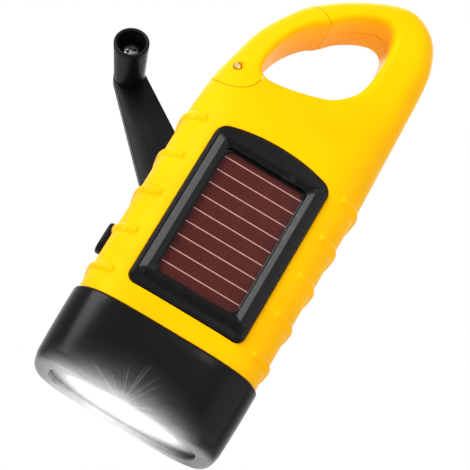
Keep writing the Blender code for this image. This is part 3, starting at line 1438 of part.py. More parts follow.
def lug():
    """The hub's block that the arm's fork straddles, round about the fold pin."""
    radius = ARM_THICKNESS / 2
    outline = [(HUB_TOP_Y - HUB_THICKNESS / 2, -radius)]
    steps = 10
    for step in range(steps + 1):
        angle = pi * step / steps
        outline.append((FOLD_PIN_Y + radius * sin(angle), -radius * cos(angle)))
    outline.append((HUB_TOP_Y - HUB_THICKNESS / 2, radius))
    return prism("lug", outline, -LUG_HALF_WIDTH, LUG_HALF_WIDTH, axis="x")


def make_arm(fold, looks):
    """The arm lies along +Z of the fold axis when its fork is about the pin."""
    half = ARM_THICKNESS / 2
    profile = []
    steps = 8
    for step in range(steps + 1):
        angle = pi / 2 + pi * step / steps
        profile.append((half * sin(angle), half * cos(angle)))
    tip = ARM_TIP_THICKNESS / 2
    end = ARM_LENGTH + ARM_TIP_RADIUS
    profile += [(-tip, end), (tip, end)]
    arm = prism("crank_arm", profile, -ARM_HALF_WIDTH - OVERRUN, ARM_HALF_WIDTH + OVERRUN, looks["black"],
                fold, axis="x")
    plan = [(-ARM_HALF_WIDTH, -half - OVERRUN), (ARM_HALF_WIDTH, -half - OVERRUN), (ARM_HALF_WIDTH, half)]
    for step in range(13):
        angle = pi * step / 12
        plan.append((ARM_TIP_RADIUS * cos(angle), ARM_LENGTH + ARM_TIP_RADIUS * sin(angle)))
    plan.append((-ARM_HALF_WIDTH, half))
    cross(arm, prism("plan", plan, -ARM_THICKNESS - OVERRUN, ARM_THICKNESS + OVERRUN))
    slot = LUG_HALF_WIDTH + REST_GAP
    web = half + 3 * REST_GAP
    cut(arm, box("slot", (-slot, -ARM_THICKNESS, -ARM_THICKNESS - OVERRUN), (slot, ARM_THICKNESS, web)))
    cut(arm, turned("pin_hole", (
        (FOLD_PIN_RADIUS + RUN_GAP, -ARM_HALF_WIDTH - OVERRUN),
        (FOLD_PIN_RADIUS + RUN_GAP, ARM_HALF_WIDTH + OVERRUN),
    ), 16, axis="x"))
    cut(arm, drill(KNOB_SCREW_RADIUS + REST_GAP / 3, -ARM_THICKNESS - OVERRUN, -tip + KNOB_SCREW_GRIP,
                   (0.0, ARM_LENGTH), 12))
    half_pin = ARM_HALF_WIDTH - FOLD_PIN_SHORT
    turned("fold_pin", ((FOLD_PIN_RADIUS, -half_pin), (FOLD_PIN_RADIUS, half_pin)), 14, (0.0, 0.0),
           looks["steel"], fold, axis="x")


def make_knob(fold, looks):
    """The knob points to -Y of the fold axis, open at its end, with its screw at the bottom."""
    base = -ARM_TIP_THICKNESS / 2 - REST_GAP
    end = base - KNOB_LENGTH
    centre = (0.0, ARM_LENGTH)
    rim = KNOB_WALL / 2
    floor = base - KNOB_FLOOR
    hole = KNOB_SCREW_RADIUS + RUN_GAP
    knob = turned("crank_knob", (
        (KNOB_BASE_RADIUS, base), (KNOB_RADIUS, end + rim), (KNOB_RADIUS - rim / 2, end),
    ), 28, centre, looks["black"], fold)
    cut(knob, turned("bore", (
        (KNOB_BASE_RADIUS - KNOB_WALL, floor), (KNOB_RADIUS - KNOB_WALL, end - OVERRUN),
    ), 24, centre))
    cut(knob, drill(hole, floor - OVERRUN, base + OVERRUN, centre, 14))
    head_under = floor - REST_GAP
    turned("knob_screw", (
        (KNOB_SCREW_HEAD, head_under - KNOB_SCREW_HEAD_HEIGHT), (KNOB_SCREW_HEAD, head_under),
        (KNOB_SCREW_RADIUS, head_under),
        (KNOB_SCREW_RADIUS, -ARM_TIP_THICKNESS / 2 + KNOB_SCREW_GRIP - REST_GAP),
    ), 14, centre, looks["steel"], fold)


# Power button and switch

def make_button(parent, looks):
    z = HEAD_LENGTH + BUTTON_HEIGHT
    outer = -CASE_HALF_WIDTH - BUTTON_PROUD
    flange_out = flange_face()
    flange_in = flange_out + BUTTON_FLANGE

    def ring(x, grown):
        shape = rounded_box(
            BUTTON_HALF_WIDTH + grown, z - BUTTON_HALF_LENGTH - grown, z + BUTTON_HALF_LENGTH + grown,
            max(BUTTON_CORNER + grown, BUTTON_CORNER / 2),
        )
        return [(x, y, height) for y, height in shape]

    rings = []
    for share in (0.0, 0.4, 1.0):
        drop_in = BUTTON_CROWN * (1 - sqrt(1 - (1 - share) ** 2))
        rings.append(ring(outer + BUTTON_CROWN * share, -drop_in))
    rings += [
        ring(flange_out, 0.0), ring(flange_out, BUTTON_FLANGE_EXTRA), ring(flange_in, BUTTON_FLANGE_EXTRA),
    ]
    loft("power_button", rings, looks["black"], parent)
    start = switch_start()
    centre = (0.0, z)
    plunger_start = flange_in + REST_GAP
    turned("switch_plunger", (
        (PLUNGER_RADIUS, plunger_start), (PLUNGER_RADIUS, plunger_start + PLUNGER_LENGTH),
    ), 12, centre, looks["nylon"], parent, axis="x")
    body = box(
        "switch_body", (start, -SWITCH_HALF, z - SWITCH_HALF),
        (start + SWITCH_LENGTH, SWITCH_HALF, z + SWITCH_HALF), looks["board"], parent,
    )
    cut(body, turned("bore", (
        (PLUNGER_RADIUS + RUN_GAP, start - OVERRUN),
        (PLUNGER_RADIUS + RUN_GAP, plunger_start + PLUNGER_LENGTH + BUTTON_TRAVEL + REST_GAP),
    ), 14, centre, axis="x"))
    room = REST_GAP + SWITCH_SPRING_WIRE
    low, high = flange_in + room, start - room
    steps = 10 * SWITCH_SPRING_TURNS
    path = [
        (low + (high - low) * step / steps,
         SWITCH_SPRING_RADIUS * cos(2 * pi * step / 10), z + SWITCH_SPRING_RADIUS * sin(2 * pi * step / 10))
        for step in range(steps + 1)
    ]
    wire("button_spring", path, SWITCH_SPRING_WIRE, looks["steel"], parent)
    print_least_gap("button_spring", path, SWITCH_SPRING_WIRE, 8)


# Circuit board, battery and wires

def make_electrics(parent, looks):
    bottom, top = board_span()
    box("main_board", (-MAIN_BOARD_HALF_WIDTH, BOARD_FRONT_Y, bottom),
        (MAIN_BOARD_HALF_WIDTH, BOARD_BACK_Y, top), looks["board"], parent)
    seat = BOARD_BACK_Y + REST_GAP
    x, z = CHIP_PLACE[0], HEAD_LENGTH + CHIP_PLACE[1]
    box("charge_chip", (x - CHIP_HALF, seat, z - CHIP_HALF),
        (x + CHIP_HALF, seat + CHIP_THICKNESS, z + CHIP_HALF), looks["rubber"], parent)
    place = (CAPACITOR_PLACE[0], HEAD_LENGTH + CAPACITOR_PLACE[1])
    finish(drill(CAPACITOR_RADIUS, seat, seat + CAPACITOR_HEIGHT, place, 16),
           "capacitor", looks["copper"], parent)

    z = HEAD_LENGTH + BATTERY_HEIGHT
    span = CELL_COUNT * BATTERY_CELL_LENGTH + (CELL_COUNT - 1) * REST_GAP
    axis_y = seat + CRADLE_WALL + REST_GAP + BATTERY_RADIUS
    for number in range(CELL_COUNT):
        start = -span / 2 + number * (BATTERY_CELL_LENGTH + REST_GAP)
        turned(f"battery_cell_{number + 1}", (
            (BATTERY_RADIUS, start), (BATTERY_RADIUS, start + BATTERY_CELL_LENGTH),
        ), 24, (axis_y, z), looks["steel"], parent, axis="x")
    outer = BATTERY_RADIUS + REST_GAP + CRADLE_WALL
    cradle = box("battery_cradle", (-span / 2, seat, z - outer), (span / 2, axis_y - CRADLE_DEPTH, z + outer),
                 looks["nylon"], parent)
    cut(cradle, turned("trough", (
        (BATTERY_RADIUS + REST_GAP, -span), (BATTERY_RADIUS + REST_GAP, span),
    ), 32, (axis_y, z), axis="x"))
    for name, side in (("battery_tab_left", -1), ("battery_tab_right", 1)):
        near, far = sorted((side * (span / 2 + REST_GAP), side * (span / 2 + REST_GAP + TAB_THICKNESS)))
        box(name, (near, seat, z - TAB_HALF_WIDTH), (far, axis_y + TAB_HALF_WIDTH, z + TAB_HALF_WIDTH),
            looks["steel"], parent)

    start_z = lamp_levels()["board"][1] + REST_GAP
    lift = 4 * CABLE_RADIUS
    route = [
        (0.0, seat + 2 * lift, start_z), (0.0, seat + 2 * lift, start_z + lift / 2),
        (0.0, seat + 3 * lift / 2, (start_z + bottom) / 2), (0.0, seat + lift, bottom + CABLE_RADIUS),
        (0.0, seat + lift / 2, bottom + BOARD_POST_INSET / 2), (0.0, seat, bottom + BOARD_POST_INSET / 2),
    ]
    wire("led_cable", spline(route, 3, False), CABLE_RADIUS, looks["red_wire"], parent)
    x, z = gear_places()["rotor"]
    finish(drill(CABLE_RADIUS, seat, CAN_TOP_Y - CAN_DEPTH - REST_GAP, (x, z + 4 * CABLE_RADIUS), 10),
           "generator_cable", looks["red_wire"], parent)


def main():
    for piece in list(bpy.data.objects):
        bpy.data.objects.remove(piece)
    looks = {
        "yellow": material("case_yellow", (1.0, 0.62, 0.0), 0.42),
        "black": material("black_plastic", (0.025, 0.025, 0.028), 0.4),
        "clear": material("clear_lens", (0.9, 0.95, 1.0), 0.05),
        "rubber": material("dark_rubber", (0.03, 0.03, 0.03), 0.7),
        "chrome": material("reflector_chrome", (0.9, 0.9, 0.92), 0.08, 1.0),
        "led": material("led_lens", (0.95, 0.95, 1.0), 0.1),
        "board": material("circuit_board", (0.02, 0.18, 0.07), 0.5),
        "cell": material("solar_cell", (0.12, 0.02, 0.02), 0.3),
        "nylon": material("white_nylon", (0.8, 0.8, 0.76), 0.5),
        "steel": material("bright_steel", (0.6, 0.6, 0.6), 0.3, 1.0),
        "brass": material("brass_bush", (0.7, 0.5, 0.2), 0.35, 1.0),
        "copper": material("copper_winding", (0.6, 0.25, 0.1), 0.4, 1.0),
        "magnet": material("ferrite", (0.05, 0.05, 0.055), 0.6),
        "red_wire": material("wire_red", (0.5, 0.02, 0.02), 0.5),
    }
    lamp_axis = empty("flashlight", (0.0, 0.0, -LENS_RECESS))
    make_case(lamp_axis, looks)
    make_lamp(lamp_axis, looks)
    make_solar(lamp_axis, looks)
    make_gears(lamp_axis, looks)
    make_generator(lamp_axis, looks)
    make_crank(lamp_axis, looks)
    make_button(lamp_axis, looks)
    make_electrics(lamp_axis, looks)


main()
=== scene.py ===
"""Looks of the hand crank flashlight: dense surfaces, procedural materials, light and camera.

Sizes are those of the model's source, and heights in them are measured from the lamp's rim. Each
piece is made there and then moved down, so that the origin is the centre of the lens's face.
"""

from math import atan2, copysign, cos, hypot, pi, radians, sin, sqrt

import bmesh
import bpy
from mathutils import Matrix, Vector


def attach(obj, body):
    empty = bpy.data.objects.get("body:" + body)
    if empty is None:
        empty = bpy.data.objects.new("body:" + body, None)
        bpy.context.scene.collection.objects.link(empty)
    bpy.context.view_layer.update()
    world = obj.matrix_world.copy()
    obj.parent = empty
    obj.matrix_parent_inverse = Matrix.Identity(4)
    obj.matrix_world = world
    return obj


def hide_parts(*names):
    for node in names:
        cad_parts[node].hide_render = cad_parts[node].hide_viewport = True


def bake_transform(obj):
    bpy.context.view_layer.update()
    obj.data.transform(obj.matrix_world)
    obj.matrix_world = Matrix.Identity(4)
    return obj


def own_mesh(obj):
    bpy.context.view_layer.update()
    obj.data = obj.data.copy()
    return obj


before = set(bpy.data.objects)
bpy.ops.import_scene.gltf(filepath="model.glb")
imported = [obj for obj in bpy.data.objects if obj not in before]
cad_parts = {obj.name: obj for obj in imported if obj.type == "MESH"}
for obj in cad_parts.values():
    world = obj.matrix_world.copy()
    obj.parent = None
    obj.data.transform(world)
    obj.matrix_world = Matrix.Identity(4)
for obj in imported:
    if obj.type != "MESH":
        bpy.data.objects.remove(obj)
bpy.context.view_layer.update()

MM = 0.001

# Clearances
REST_GAP = 0.3 * MM          # between fixed neighbours
RUN_GAP = 0.15 * MM          # round a shaft that turns
PARTING_GAP = 0.3 * MM       # between the two case halves
OVERRUN = 4.0 * MM           # how far a cutter passes the face that it opens
WELD = 0.0005 * MM           # points nearer than this, which a cut leaves, are one point

# Case
CASE_HALF_WIDTH = 26.2 * MM
CASE_HALF_THICKNESS = 17.0 * MM
CASE_STRAIGHT = 60.0 * MM    # from the lamp head to where the ring begins
CASE_WALL = 2.0 * MM
CASE_FRONT_WALL = 3.6 * MM   # thicker, for the pocket of the solar cell
SECTION_POWER = 3.8          # of the superellipse that every cross-section follows
SECTION_COLUMNS = 72         # across one face
CAVITY_TOP_BELOW_HOLE = 4.5 * MM

# Carabiner ring
RING_HEIGHT = 55.4 * MM
RING_HALF_THICKNESS = 10.5 * MM
RING_ROUNDING = 8.0 * MM     # how far in from the outline the outer edge is rounded
RING_POWER = 2.6             # of that rounding
RING_INNER_ROUNDING = 2.0 * MM
RING_COLUMNS = 150           # along the outer outline
NARROWING_START = 3.5 * MM   # below the shoulder, where the case begins to get thinner
NARROWING_LENGTH = 28.0 * MM
# Outline of the ring, from the right shoulder over the top to the left shoulder: shares of the
# case's half width across, and of the ring's height above the shoulder
RING_OUTLINE_SHARES = (
    (1.000, 0.000), (0.984, 0.388), (0.964, 0.691), (0.921, 0.811), (0.820, 0.917),
    (0.662, 0.984), (0.450, 1.016), (0.206, 0.987), (-0.145, 0.896), (-0.488, 0.765),
    (-0.662, 0.655), (-0.824, 0.506), (-0.917, 0.330), (-0.975, 0.181), (-1.000, 0.000),
)
HOLE_OUTLINE_SHARES = (
    (-0.588, 0.318), (-0.565, 0.440), (-0.481, 0.545), (-0.344, 0.634), (-0.225, 0.679),
    (-0.073, 0.758), (0.134, 0.821), (0.305, 0.839), (0.427, 0.794), (0.458, 0.668),
    (0.435, 0.529), (0.370, 0.440), (0.202, 0.354), (0.000, 0.310), (-0.271, 0.271),
    (-0.492, 0.262),
)
HOLE_CENTRE_SHARES = (-0.057, 0.524)

# Carabiner gate
GATE_PIN_SHARES = (-0.802, 0.242)    # place of the pin, as shares like the outlines'
GATE_FOOT_RADIUS = 7.2 * MM
GATE_LENGTH = 29.1 * MM              # from the pin to the tip's joint
GATE_PIN_RADIUS = 1.1 * MM
GATE_PIN_SUNK = 0.5 * MM
GATE_TONGUE_HALF = 3.6 * MM          # half thickness of the case's tongue in the gate's foot
GATE_FOOT_START = radians(205.0)     # foot's arc, from outside the case round to the hole
GATE_FOOT_END = radians(393.0)
GATE_TIP_END = radians(120.0)
GATE_SPRING_WIRE = 0.2 * MM
GATE_SPRING_RADIUS = 2.0 * MM
GATE_SPRING_TURNS = 3
GATE_SPRING_PITCH = 0.95 * MM
GATE_TRAVEL = radians(30.0)              # the foot meets the hole's floor just beyond it
GATE_SPRING_CASE_ANGLE = radians(-63.0)  # directions of the spring's two legs from the pin
GATE_SPRING_GATE_ANGLE = radians(73.0)
GATE_SPRING_PLAY = radians(8.0)          # of a leg in its slot
GATE_DIMPLE_SHARE = 1.5                  # of the pin's radius, where its end shows

# Grip ribs, by height above the lamp head's top edge
RIB_FIRST = 6.8 * MM
RIB_PITCH = 11.9 * MM
RIB_COUNT = 5
RIB_HALF_HEIGHT = 1.6 * MM
RIB_PROUD = 0.8 * MM

# Lamp head
HEAD_LENGTH = 21.0 * MM
HEAD_HALF_WIDTH = 27.0 * MM
HEAD_HALF_THICKNESS = 17.8 * MM
HEAD_NOSE_INSET = 2.7 * MM   # how much the head is smaller at its rim
HEAD_NOSE_LENGTH = 3.2 * MM
HEAD_TAPER = 0.4 * MM
LIP_THICKNESS = 1.3 * MM
LENS_HALF_WIDTH = 21.5 * MM  # of the opening
LENS_HALF_HEIGHT = 12.3 * MM
LENS_POWER = 2.6
LENS_BORDER = 1.1 * MM       # lens behind the lip, all round
LENS_THICKNESS = 1.2 * MM
LENS_STEP = 0.4 * MM         # how far the lens's middle stands into the opening
SEAL_THICKNESS = 0.9 * MM
REFLECTOR_FLANGE = 1.0 * MM
REFLECTOR_DEPTH = 9.0 * MM
CUP_RADIUS = 6.9 * MM
CUP_WALL = 0.7 * MM
CUP_PITCH = 14.1 * MM
LED_COUNT = 3
LED_RADIUS = 2.4 * MM
LED_LENGTH = 8.0 * MM
LED_FLANGE = 0.4 * MM
BOARD_THICKNESS = 1.2 * MM
NECK_INSET = 2.5 * MM        # how much the case is smaller inside the head

# Solar cell and its frame
BEZEL_HALF_WIDTH = 16.6 * MM
BEZEL_BOTTOM = 6.3 * MM      # above the head's top edge
BEZEL_SIDE_HEIGHT = 48.8 * MM
BEZEL_ARCH_RISE = 1.9 * MM
BEZEL_CORNER = 2.2 * MM
BEZEL_TOP_CORNER = 3.5 * MM
BEZEL_SEAT_DEPTH = 1.8 * MM
CELL_HALF_WIDTH = 11.4 * MM  # of the window
CELL_HEIGHT = 37.3 * MM
CELL_BOTTOM = 12.4 * MM      # above the head's top edge
CELL_BORDER = 1.4 * MM       # cell under the frame, all round
CELL_THICKNESS = 1.0 * MM
CELL_DEPTH = 1.5 * MM        # of its face below the case's front
CELL_CORNER = 2.0 * MM
SOLAR_CABLE_BELOW_CELL_TOP = 4.0 * MM

# Crank
HUB_HEIGHT = 28.0 * MM       # above the head's top edge
HUB_RADIUS = 12.0 * MM
HUB_THICKNESS = 2.6 * MM
HUB_SUNK = 2.4 * MM          # underside of the hub below the case's back
BOSS_RADIUS = 14.6 * MM
BOSS_DEPTH = 2.5 * MM
SPINDLE_RADIUS = 3.0 * MM
DRIVE_SQUARE = 4.2 * MM
STUB_RADIUS = 1.5 * MM
BUSH_WALL = 1.0 * MM
ARM_AIR = 0.8 * MM           # between the folded arm and the hub
ARM_THICKNESS = 5.0 * MM
ARM_TIP_THICKNESS = 4.0 * MM
ARM_LENGTH = 67.0 * MM       # fold pin to knob axis
ARM_HALF_WIDTH = 10.7 * MM   # at the fold pin
ARM_TIP_RADIUS = 4.6 * MM
FOLD_PIN_RADIUS = 1.5 * MM
FOLD_PIN_SHORT = 0.6 * MM    # the pin ends this far inside each side of the arm
LUG_HALF_WIDTH = 4.2 * MM
KNOB_LENGTH = 16.8 * MM
KNOB_RADIUS = 5.05 * MM      # at the open end
KNOB_BASE_RADIUS = 4.45 * MM
KNOB_WALL = 1.1 * MM
KNOB_FLOOR = 10.6 * MM
KNOB_SCREW_RADIUS = 1.3 * MM
KNOB_SCREW_HEAD = 2.4 * MM
KNOB_SCREW_HEAD_HEIGHT = 1.5 * MM
KNOB_SCREW_GRIP = 3.4 * MM   # length in the arm
CRANK_SWING = radians(47.2)  # turned from straight up, towards -X
CRANK_FOLD = radians(14.0)   # folded out from the back

# Gear train
GEAR_MODULE = 0.7 * MM
GEAR_WIDTH = 1.6 * MM
GEAR_SPACE = 0.7 * MM        # between one wheel and the next along the axles
CRANK_TEETH = 40
WHEEL_TEETH = 36
PINION_TEETH = 12
GEAR_A_DIRECTION = radians(109.0)    # from the crank's axis, in the XZ plane
GEAR_B_DIRECTION = radians(33.5)     # from gear A's axis
AXLE_RADIUS = 1.0 * MM
AXLE_BOSS_WALL = 1.5 * MM
AXLE_SOCKET = 2.0 * MM       # length of the axle in its boss
PLATE_THICKNESS = 1.6 * MM
# Posts of the gearbox plate: across from the lamp's axis, and above the hub
POST_PLACES = ((-20.0 * MM, 3.0 * MM), (18.0 * MM, 7.0 * MM), (-9.0 * MM, 36.0 * MM))
POST_RADIUS = 2.5 * MM
PLATE_SCREW_RADIUS = 0.9 * MM
PLATE_SCREW_LENGTH = 5.0 * MM

# Power button on the left wall, at the parting line
BUTTON_HEIGHT = 17.0 * MM    # above the head's top edge
BUTTON_HALF_LENGTH = 4.4 * MM
BUTTON_HALF_WIDTH = 3.0 * MM
BUTTON_CORNER = 2.4 * MM
BUTTON_PROUD = 1.9 * MM
BUTTON_CROWN = 0.7 * MM
BUTTON_FLANGE = 0.8 * MM
BUTTON_FLANGE_EXTRA = 0.8 * MM
BUTTON_TRAVEL = 1.2 * MM
BUTTON_BARE = 4.5 * MM       # no rib this near to the parting line at the button
SWITCH_BACK = 3.4 * MM       # from the button's flange to the switch
SWITCH_LENGTH = 5.4 * MM
SWITCH_HALF = 3.2 * MM
SWITCH_SPRING_WIRE = 0.22 * MM
SWITCH_SPRING_RADIUS = 1.9 * MM
SWITCH_SPRING_TURNS = 2

# Circuit board
MAIN_BOARD_HALF_WIDTH = 13.4 * MM
MAIN_BOARD_HEIGHT = 53.0 * MM
MAIN_BOARD_DEPTH = 5.6 * MM  # of its outer face below the case's front
BOARD_POST_RADIUS = 1.8 * MM
BOARD_POST_INSET = 3.0 * MM
CABLE_RADIUS = 0.8 * MM      # a pair of wires in one sleeve

# Case screws, put in from the back: across, and above the head's top edge
CASE_SCREW_PLACES = (
    (-19.3 * MM, 7.9 * MM), (19.3 * MM, 7.9 * MM), (19.3 * MM, 68.0 * MM),
    (-18.6 * MM, 60.4 * MM), (18.6 * MM, 95.0 * MM),
)
CASE_SCREW_RADIUS = 1.1 * MM
CASE_SCREW_HEAD = 2.3 * MM
CASE_SCREW_HEAD_HEIGHT = 1.6 * MM
CASE_SCREW_HEAD_LEVEL = 5.0 * MM     # underside of the head, behind the parting line
CASE_SCREW_GRIP = 5.0 * MM           # length in the front half
CASE_COLUMN_WALL = 1.6 * MM

# Places worked out from the sizes
LENS_RECESS = LIP_THICKNESS + REST_GAP - LENS_STEP
LENS_BACK = LENS_RECESS + LENS_THICKNESS
SEAL_BACK = LENS_BACK + REST_GAP + SEAL_THICKNESS
REFLECTOR_FRONT = SEAL_BACK + REST_GAP
REFLECTOR_BACK = REFLECTOR_FRONT + REFLECTOR_DEPTH
SHOULDER_Z = HEAD_LENGTH + CASE_STRAIGHT
HUB_Z = HEAD_LENGTH + HUB_HEIGHT
BUTTON_Z = HEAD_LENGTH + BUTTON_HEIGHT
CELL_BOTTOM_Z = HEAD_LENGTH + CELL_BOTTOM
HALF_GAP = PARTING_GAP / 2
BACK_Y = CASE_HALF_THICKNESS
FAR = CASE_HALF_THICKNESS + OVERRUN
RECESS_FLOOR_Y = BACK_Y - HUB_SUNK - REST_GAP
HUB_UNDER_Y = BACK_Y - HUB_SUNK
HUB_TOP_Y = HUB_UNDER_Y + HUB_THICKNESS
FOLD_PIN_Y = HUB_TOP_Y + ARM_AIR + ARM_THICKNESS / 2
BOSS_UNDER_Y = RECESS_FLOOR_Y - BOSS_DEPTH
CRANK_GEAR_TOP_Y = BOSS_UNDER_Y - REST_GAP
CRANK_GEAR_UNDER_Y = CRANK_GEAR_TOP_Y - GEAR_WIDTH
PLATE_TOP_Y = CRANK_GEAR_UNDER_Y - 3 * GEAR_SPACE - 2 * GEAR_WIDTH
BOARD_FRONT_Y = -CASE_HALF_THICKNESS + MAIN_BOARD_DEPTH
BOARD_BOTTOM_Z = HEAD_LENGTH + CASE_WALL + 2 * REST_GAP     # where the hollow is at its full width
CELL_FACE_Y = -CASE_HALF_THICKNESS + CELL_DEPTH
CELL_BACK_Y = CELL_FACE_Y + CELL_THICKNESS
HOLE_BOTTOM_Z = SHOULDER_Z + RING_HEIGHT * min(share[1] for share in HOLE_OUTLINE_SHARES)
INNER_HALF_WIDTH = CASE_HALF_WIDTH - CASE_WALL
FLANGE_FACE_X = -INNER_HALF_WIDTH + 2 * REST_GAP    # behind the wall, which is a little curved
SWITCH_X = FLANGE_FACE_X + BUTTON_FLANGE + SWITCH_BACK
NECK_HALF_WIDTH = CASE_HALF_WIDTH - NECK_INSET
NECK_HALF_THICKNESS = CASE_HALF_THICKNESS - NECK_INSET
NECK_END_Z = REFLECTOR_BACK + BOARD_THICKNESS + 2 * REST_GAP    # behind the LEDs' board
LED_PLACES = [(number - (LED_COUNT - 1) / 2) * CUP_PITCH for number in range(LED_COUNT)]
RIB_MIDDLES = [HEAD_LENGTH + RIB_FIRST + number * RIB_PITCH for number in range(RIB_COUNT)]
CASE_SCREWS = [(x, HEAD_LENGTH + z) for x, z in CASE_SCREW_PLACES]
POSTS = [(x, HUB_Z + z) for x, z in POST_PLACES]
GATE_TONGUE_RADIUS = GATE_FOOT_RADIUS + 2 * REST_GAP    # past the cut round the foot
GATE_SLOT_RADIUS = GATE_TONGUE_RADIUS + REST_GAP
GATE_SPRING_HALF = GATE_SPRING_PITCH * GATE_SPRING_TURNS / 2
GATE_SPRING_ROOM = GATE_SPRING_WIRE + REST_GAP

# Sizes of the scene's own detail
SHARP_ANGLE = 32.0           # in degrees: edges that turn by more are drawn sharp
ROUNDED_SHARP_ANGLE = 40.0   # the same for a piece with bevelled edges
FRAME_SHARP_ANGLE = 20.0     # and for the cell's frame
RIB_SPREAD = 1.4 * MM        # half height of a rib's soft wave
RIB_LEVELS = 7               # cross-sections on each half of that wave
PLAIN_STEP = 1.8 * MM        # between the cross-sections elsewhere
SHOULDER_LEVELS = 4          # where the case begins to get thinner
OUTLINE_STEPS = 8            # points between two given ones of the ring's outlines
RIB_FADE_START, RIB_FADE_END = 0.765, 0.80
RIB_FULLNESS = 0.6
# Rows of points on the ring's faces: shares of its inner and outer rounding
INNER_ROWS = (0.0, 0.08, 0.2, 0.38, 0.6, 0.8, 1.0)
MIDDLE_ROWS = 5
OUTER_ROWS = (1.0, 0.8, 0.65, 0.5, 0.38, 0.27, 0.18, 0.11, 0.06, 0.025, 0.006)
LENS_DOME = 0.25 * MM
FRAME_EDGE = 0.25 * MM       # rounding of the cell frame's outer edge
FRAME_EDGE_PROUD = 0.15 * MM
FRAME_LIP = 0.3 * MM
# The cell frame's section, in millimetres: how far in from its outline, and how proud of the case
FRAME_OUTER_ROWS = ((0.35, 0.15), (0.55, 0.29), (0.65, 0.35))
# and how far outside the window, how far above it, the corner's radius, and how proud
FRAME_INNER_ROWS = (
    (4.0, 3.6, 2.2, 0.35), (2.25, 2.22, 1.5, 1.07), (2.15, 2.15, 1.4, 1.1), (2.03, 2.05, 1.35, 1.06),
    (0.58, 0.58, 1.2, 0.3), (0.5, 0.5, 1.2, 0.18),
)
FRAME_WALL_FOOT = (0.45 * MM, 0.45 * MM, 1.2 * MM)    # the same, where the wall meets the lip
SEAM_GAP = 0.2 * MM          # seen between the gate and the ring
COIL_STEPS = 24              # points along one turn of a spring
WIRE_ROUNDNESS = 3
FRAME_CORNER_STEPS = 8
FRAME_SIDE_STEPS = 12
PANEL_START = 12.0 * MM      # shallow panel on the hidden side of the arm
PANEL_END = 55.0 * MM
PANEL_MARGIN = 2.6 * MM
PANEL_DEPTH = 1.0 * MM
SCREW_CROWN = 0.5 * MM

# Colours, the lamp's glow painted on the head, lens and reflector, and the cell's lines
WHITE = (1.0, 1.0, 1.0)
YELLOW = (1.0, 0.49, 0.0)
BLACK = (0.0040, 0.0040, 0.0045)
WORN_BLACK = (0.055, 0.055, 0.06)
GLOW_X = -2.5 * MM
GLOW_MIDDLE = 13.0 * MM
GLOW_END = 6.0 * MM
GLOW_NEAR, GLOW_WIDE = 0.72, 0.09
RAY_X = -1.5 * MM
RAY_BELOW = 1.0 * MM
RAY_LENGTH = 11.0 * MM
RAY_STRENGTH = 0.2
RIM_MIDDLE, RIM_END = 0.92, 0.17
WALL_MIDDLE, WALL_END = 1.0, 0.03
LENS_PAINTED_SHINE = (0.02, 0.82, 0.3)
MIRROR_PAINTED_SHINE = (0.0, 0.2, 0.25)
LED_LEFT_SHARE, LED_RIGHT_SHARE = 0.7, 0.35
CELL_LINE_FIRST = 36.4 * MM
CELL_LINE_PITCH = 4.06 * MM
CELL_LINE_HALF = 0.11 * MM
CELL_LINE_COUNT = 9

# Studio
CAMERA_TILT, CAMERA_ROLL = radians(18.5), radians(30.9)
CAMERA_AIM = (1.27 * MM, 57.1 * MM)
CAMERA_DISTANCE = 0.5
SENSOR = 36.0
CAMERA_FOCAL = 1900 / 470 * SENSOR    # 1900 pixels in a picture of 470
FLOOR_BELOW = 0.26
FLOOR_HALF = 1.6
FLOOR_STEPS = 24
WORLD_LEVEL = 0.42
# Each lamp: name, its place from the target (across, above, toward the camera), size and power
LAMPS = (
    ("key_lamp", (-0.254, 0.574, 0.363), 0.4, 5.4),
    ("fill_lamp", (0.80, -0.13, 0.40), 1.0, 3.6),
    ("back_lamp", (0.15, 0.35, -0.75), 0.9, 5.0),
    ("right_stripe_lamp", (0.298, 0.309, 0.552), 0.05, 0.35),
)


# Meshes

def add_object(name, data):
    made = bpy.data.objects.new(name, data)
    bpy.context.scene.collection.objects.link(made)
    return made


def evaluated(piece):
    """A piece's mesh as its modifiers leave it."""
    graph = bpy.context.evaluated_depsgraph_get()
    return bpy.data.meshes.new_from_object(piece.evaluated_get(graph))


def weld(mesh, distance, outward=False):
    """Make one point of points that nearly meet."""
    shape = bmesh.new()
    shape.from_mesh(mesh)
    bmesh.ops.remove_doubles(shape, verts=shape.verts, dist=distance)
    if outward:
        bmesh.ops.recalc_face_normals(shape, faces=shape.faces)
    shape.to_mesh(mesh)
    shape.free()


def shade(piece, angle=SHARP_ANGLE):
    piece.data.shade_smooth()
    piece.data.set_sharp_from_angle(angle=radians(angle))


def modify(piece, kind, **settings):
    """Replace a piece's mesh by what one modifier makes of it."""
    step = piece.modifiers.new("step", kind)
    for name, value in settings.items():
        setattr(step, name, value)
    made, old = evaluated(piece), piece.data
    piece.modifiers.clear()
    piece.data = made
    bpy.data.meshes.remove(old)


def combine(piece, tools, operation):
    """Join, cut or cross a body with others, and drop the others."""
    for tool in tools:
        modify(piece, "BOOLEAN", operation=operation, solver="MANIFOLD", object=tool)
        if not piece.data.polygons:
            raise RuntimeError(f"{piece.name} and {tool.name}: {operation} leaves nothing")
        weld(piece.data, WELD)
        bpy.data.objects.remove(tool)
        shade(piece)
    return piece


def cut(piece, *tools):
    return combine(piece, tools, "DIFFERENCE")


def join(piece, *tools):
    return combine(piece, tools, "UNION")


def cross(piece, *tools):
    return combine(piece, tools, "INTERSECT")


def round_edges(piece, width, angle=30.0):
    """Bevel a piece's hard edges, and keep the result."""
    modify(piece, "BEVEL", width=width, segments=3, limit_method="ANGLE", angle_limit=radians(angle),
           harden_normals=False)
    shade(piece, ROUNDED_SHARP_ANGLE)
    return piece


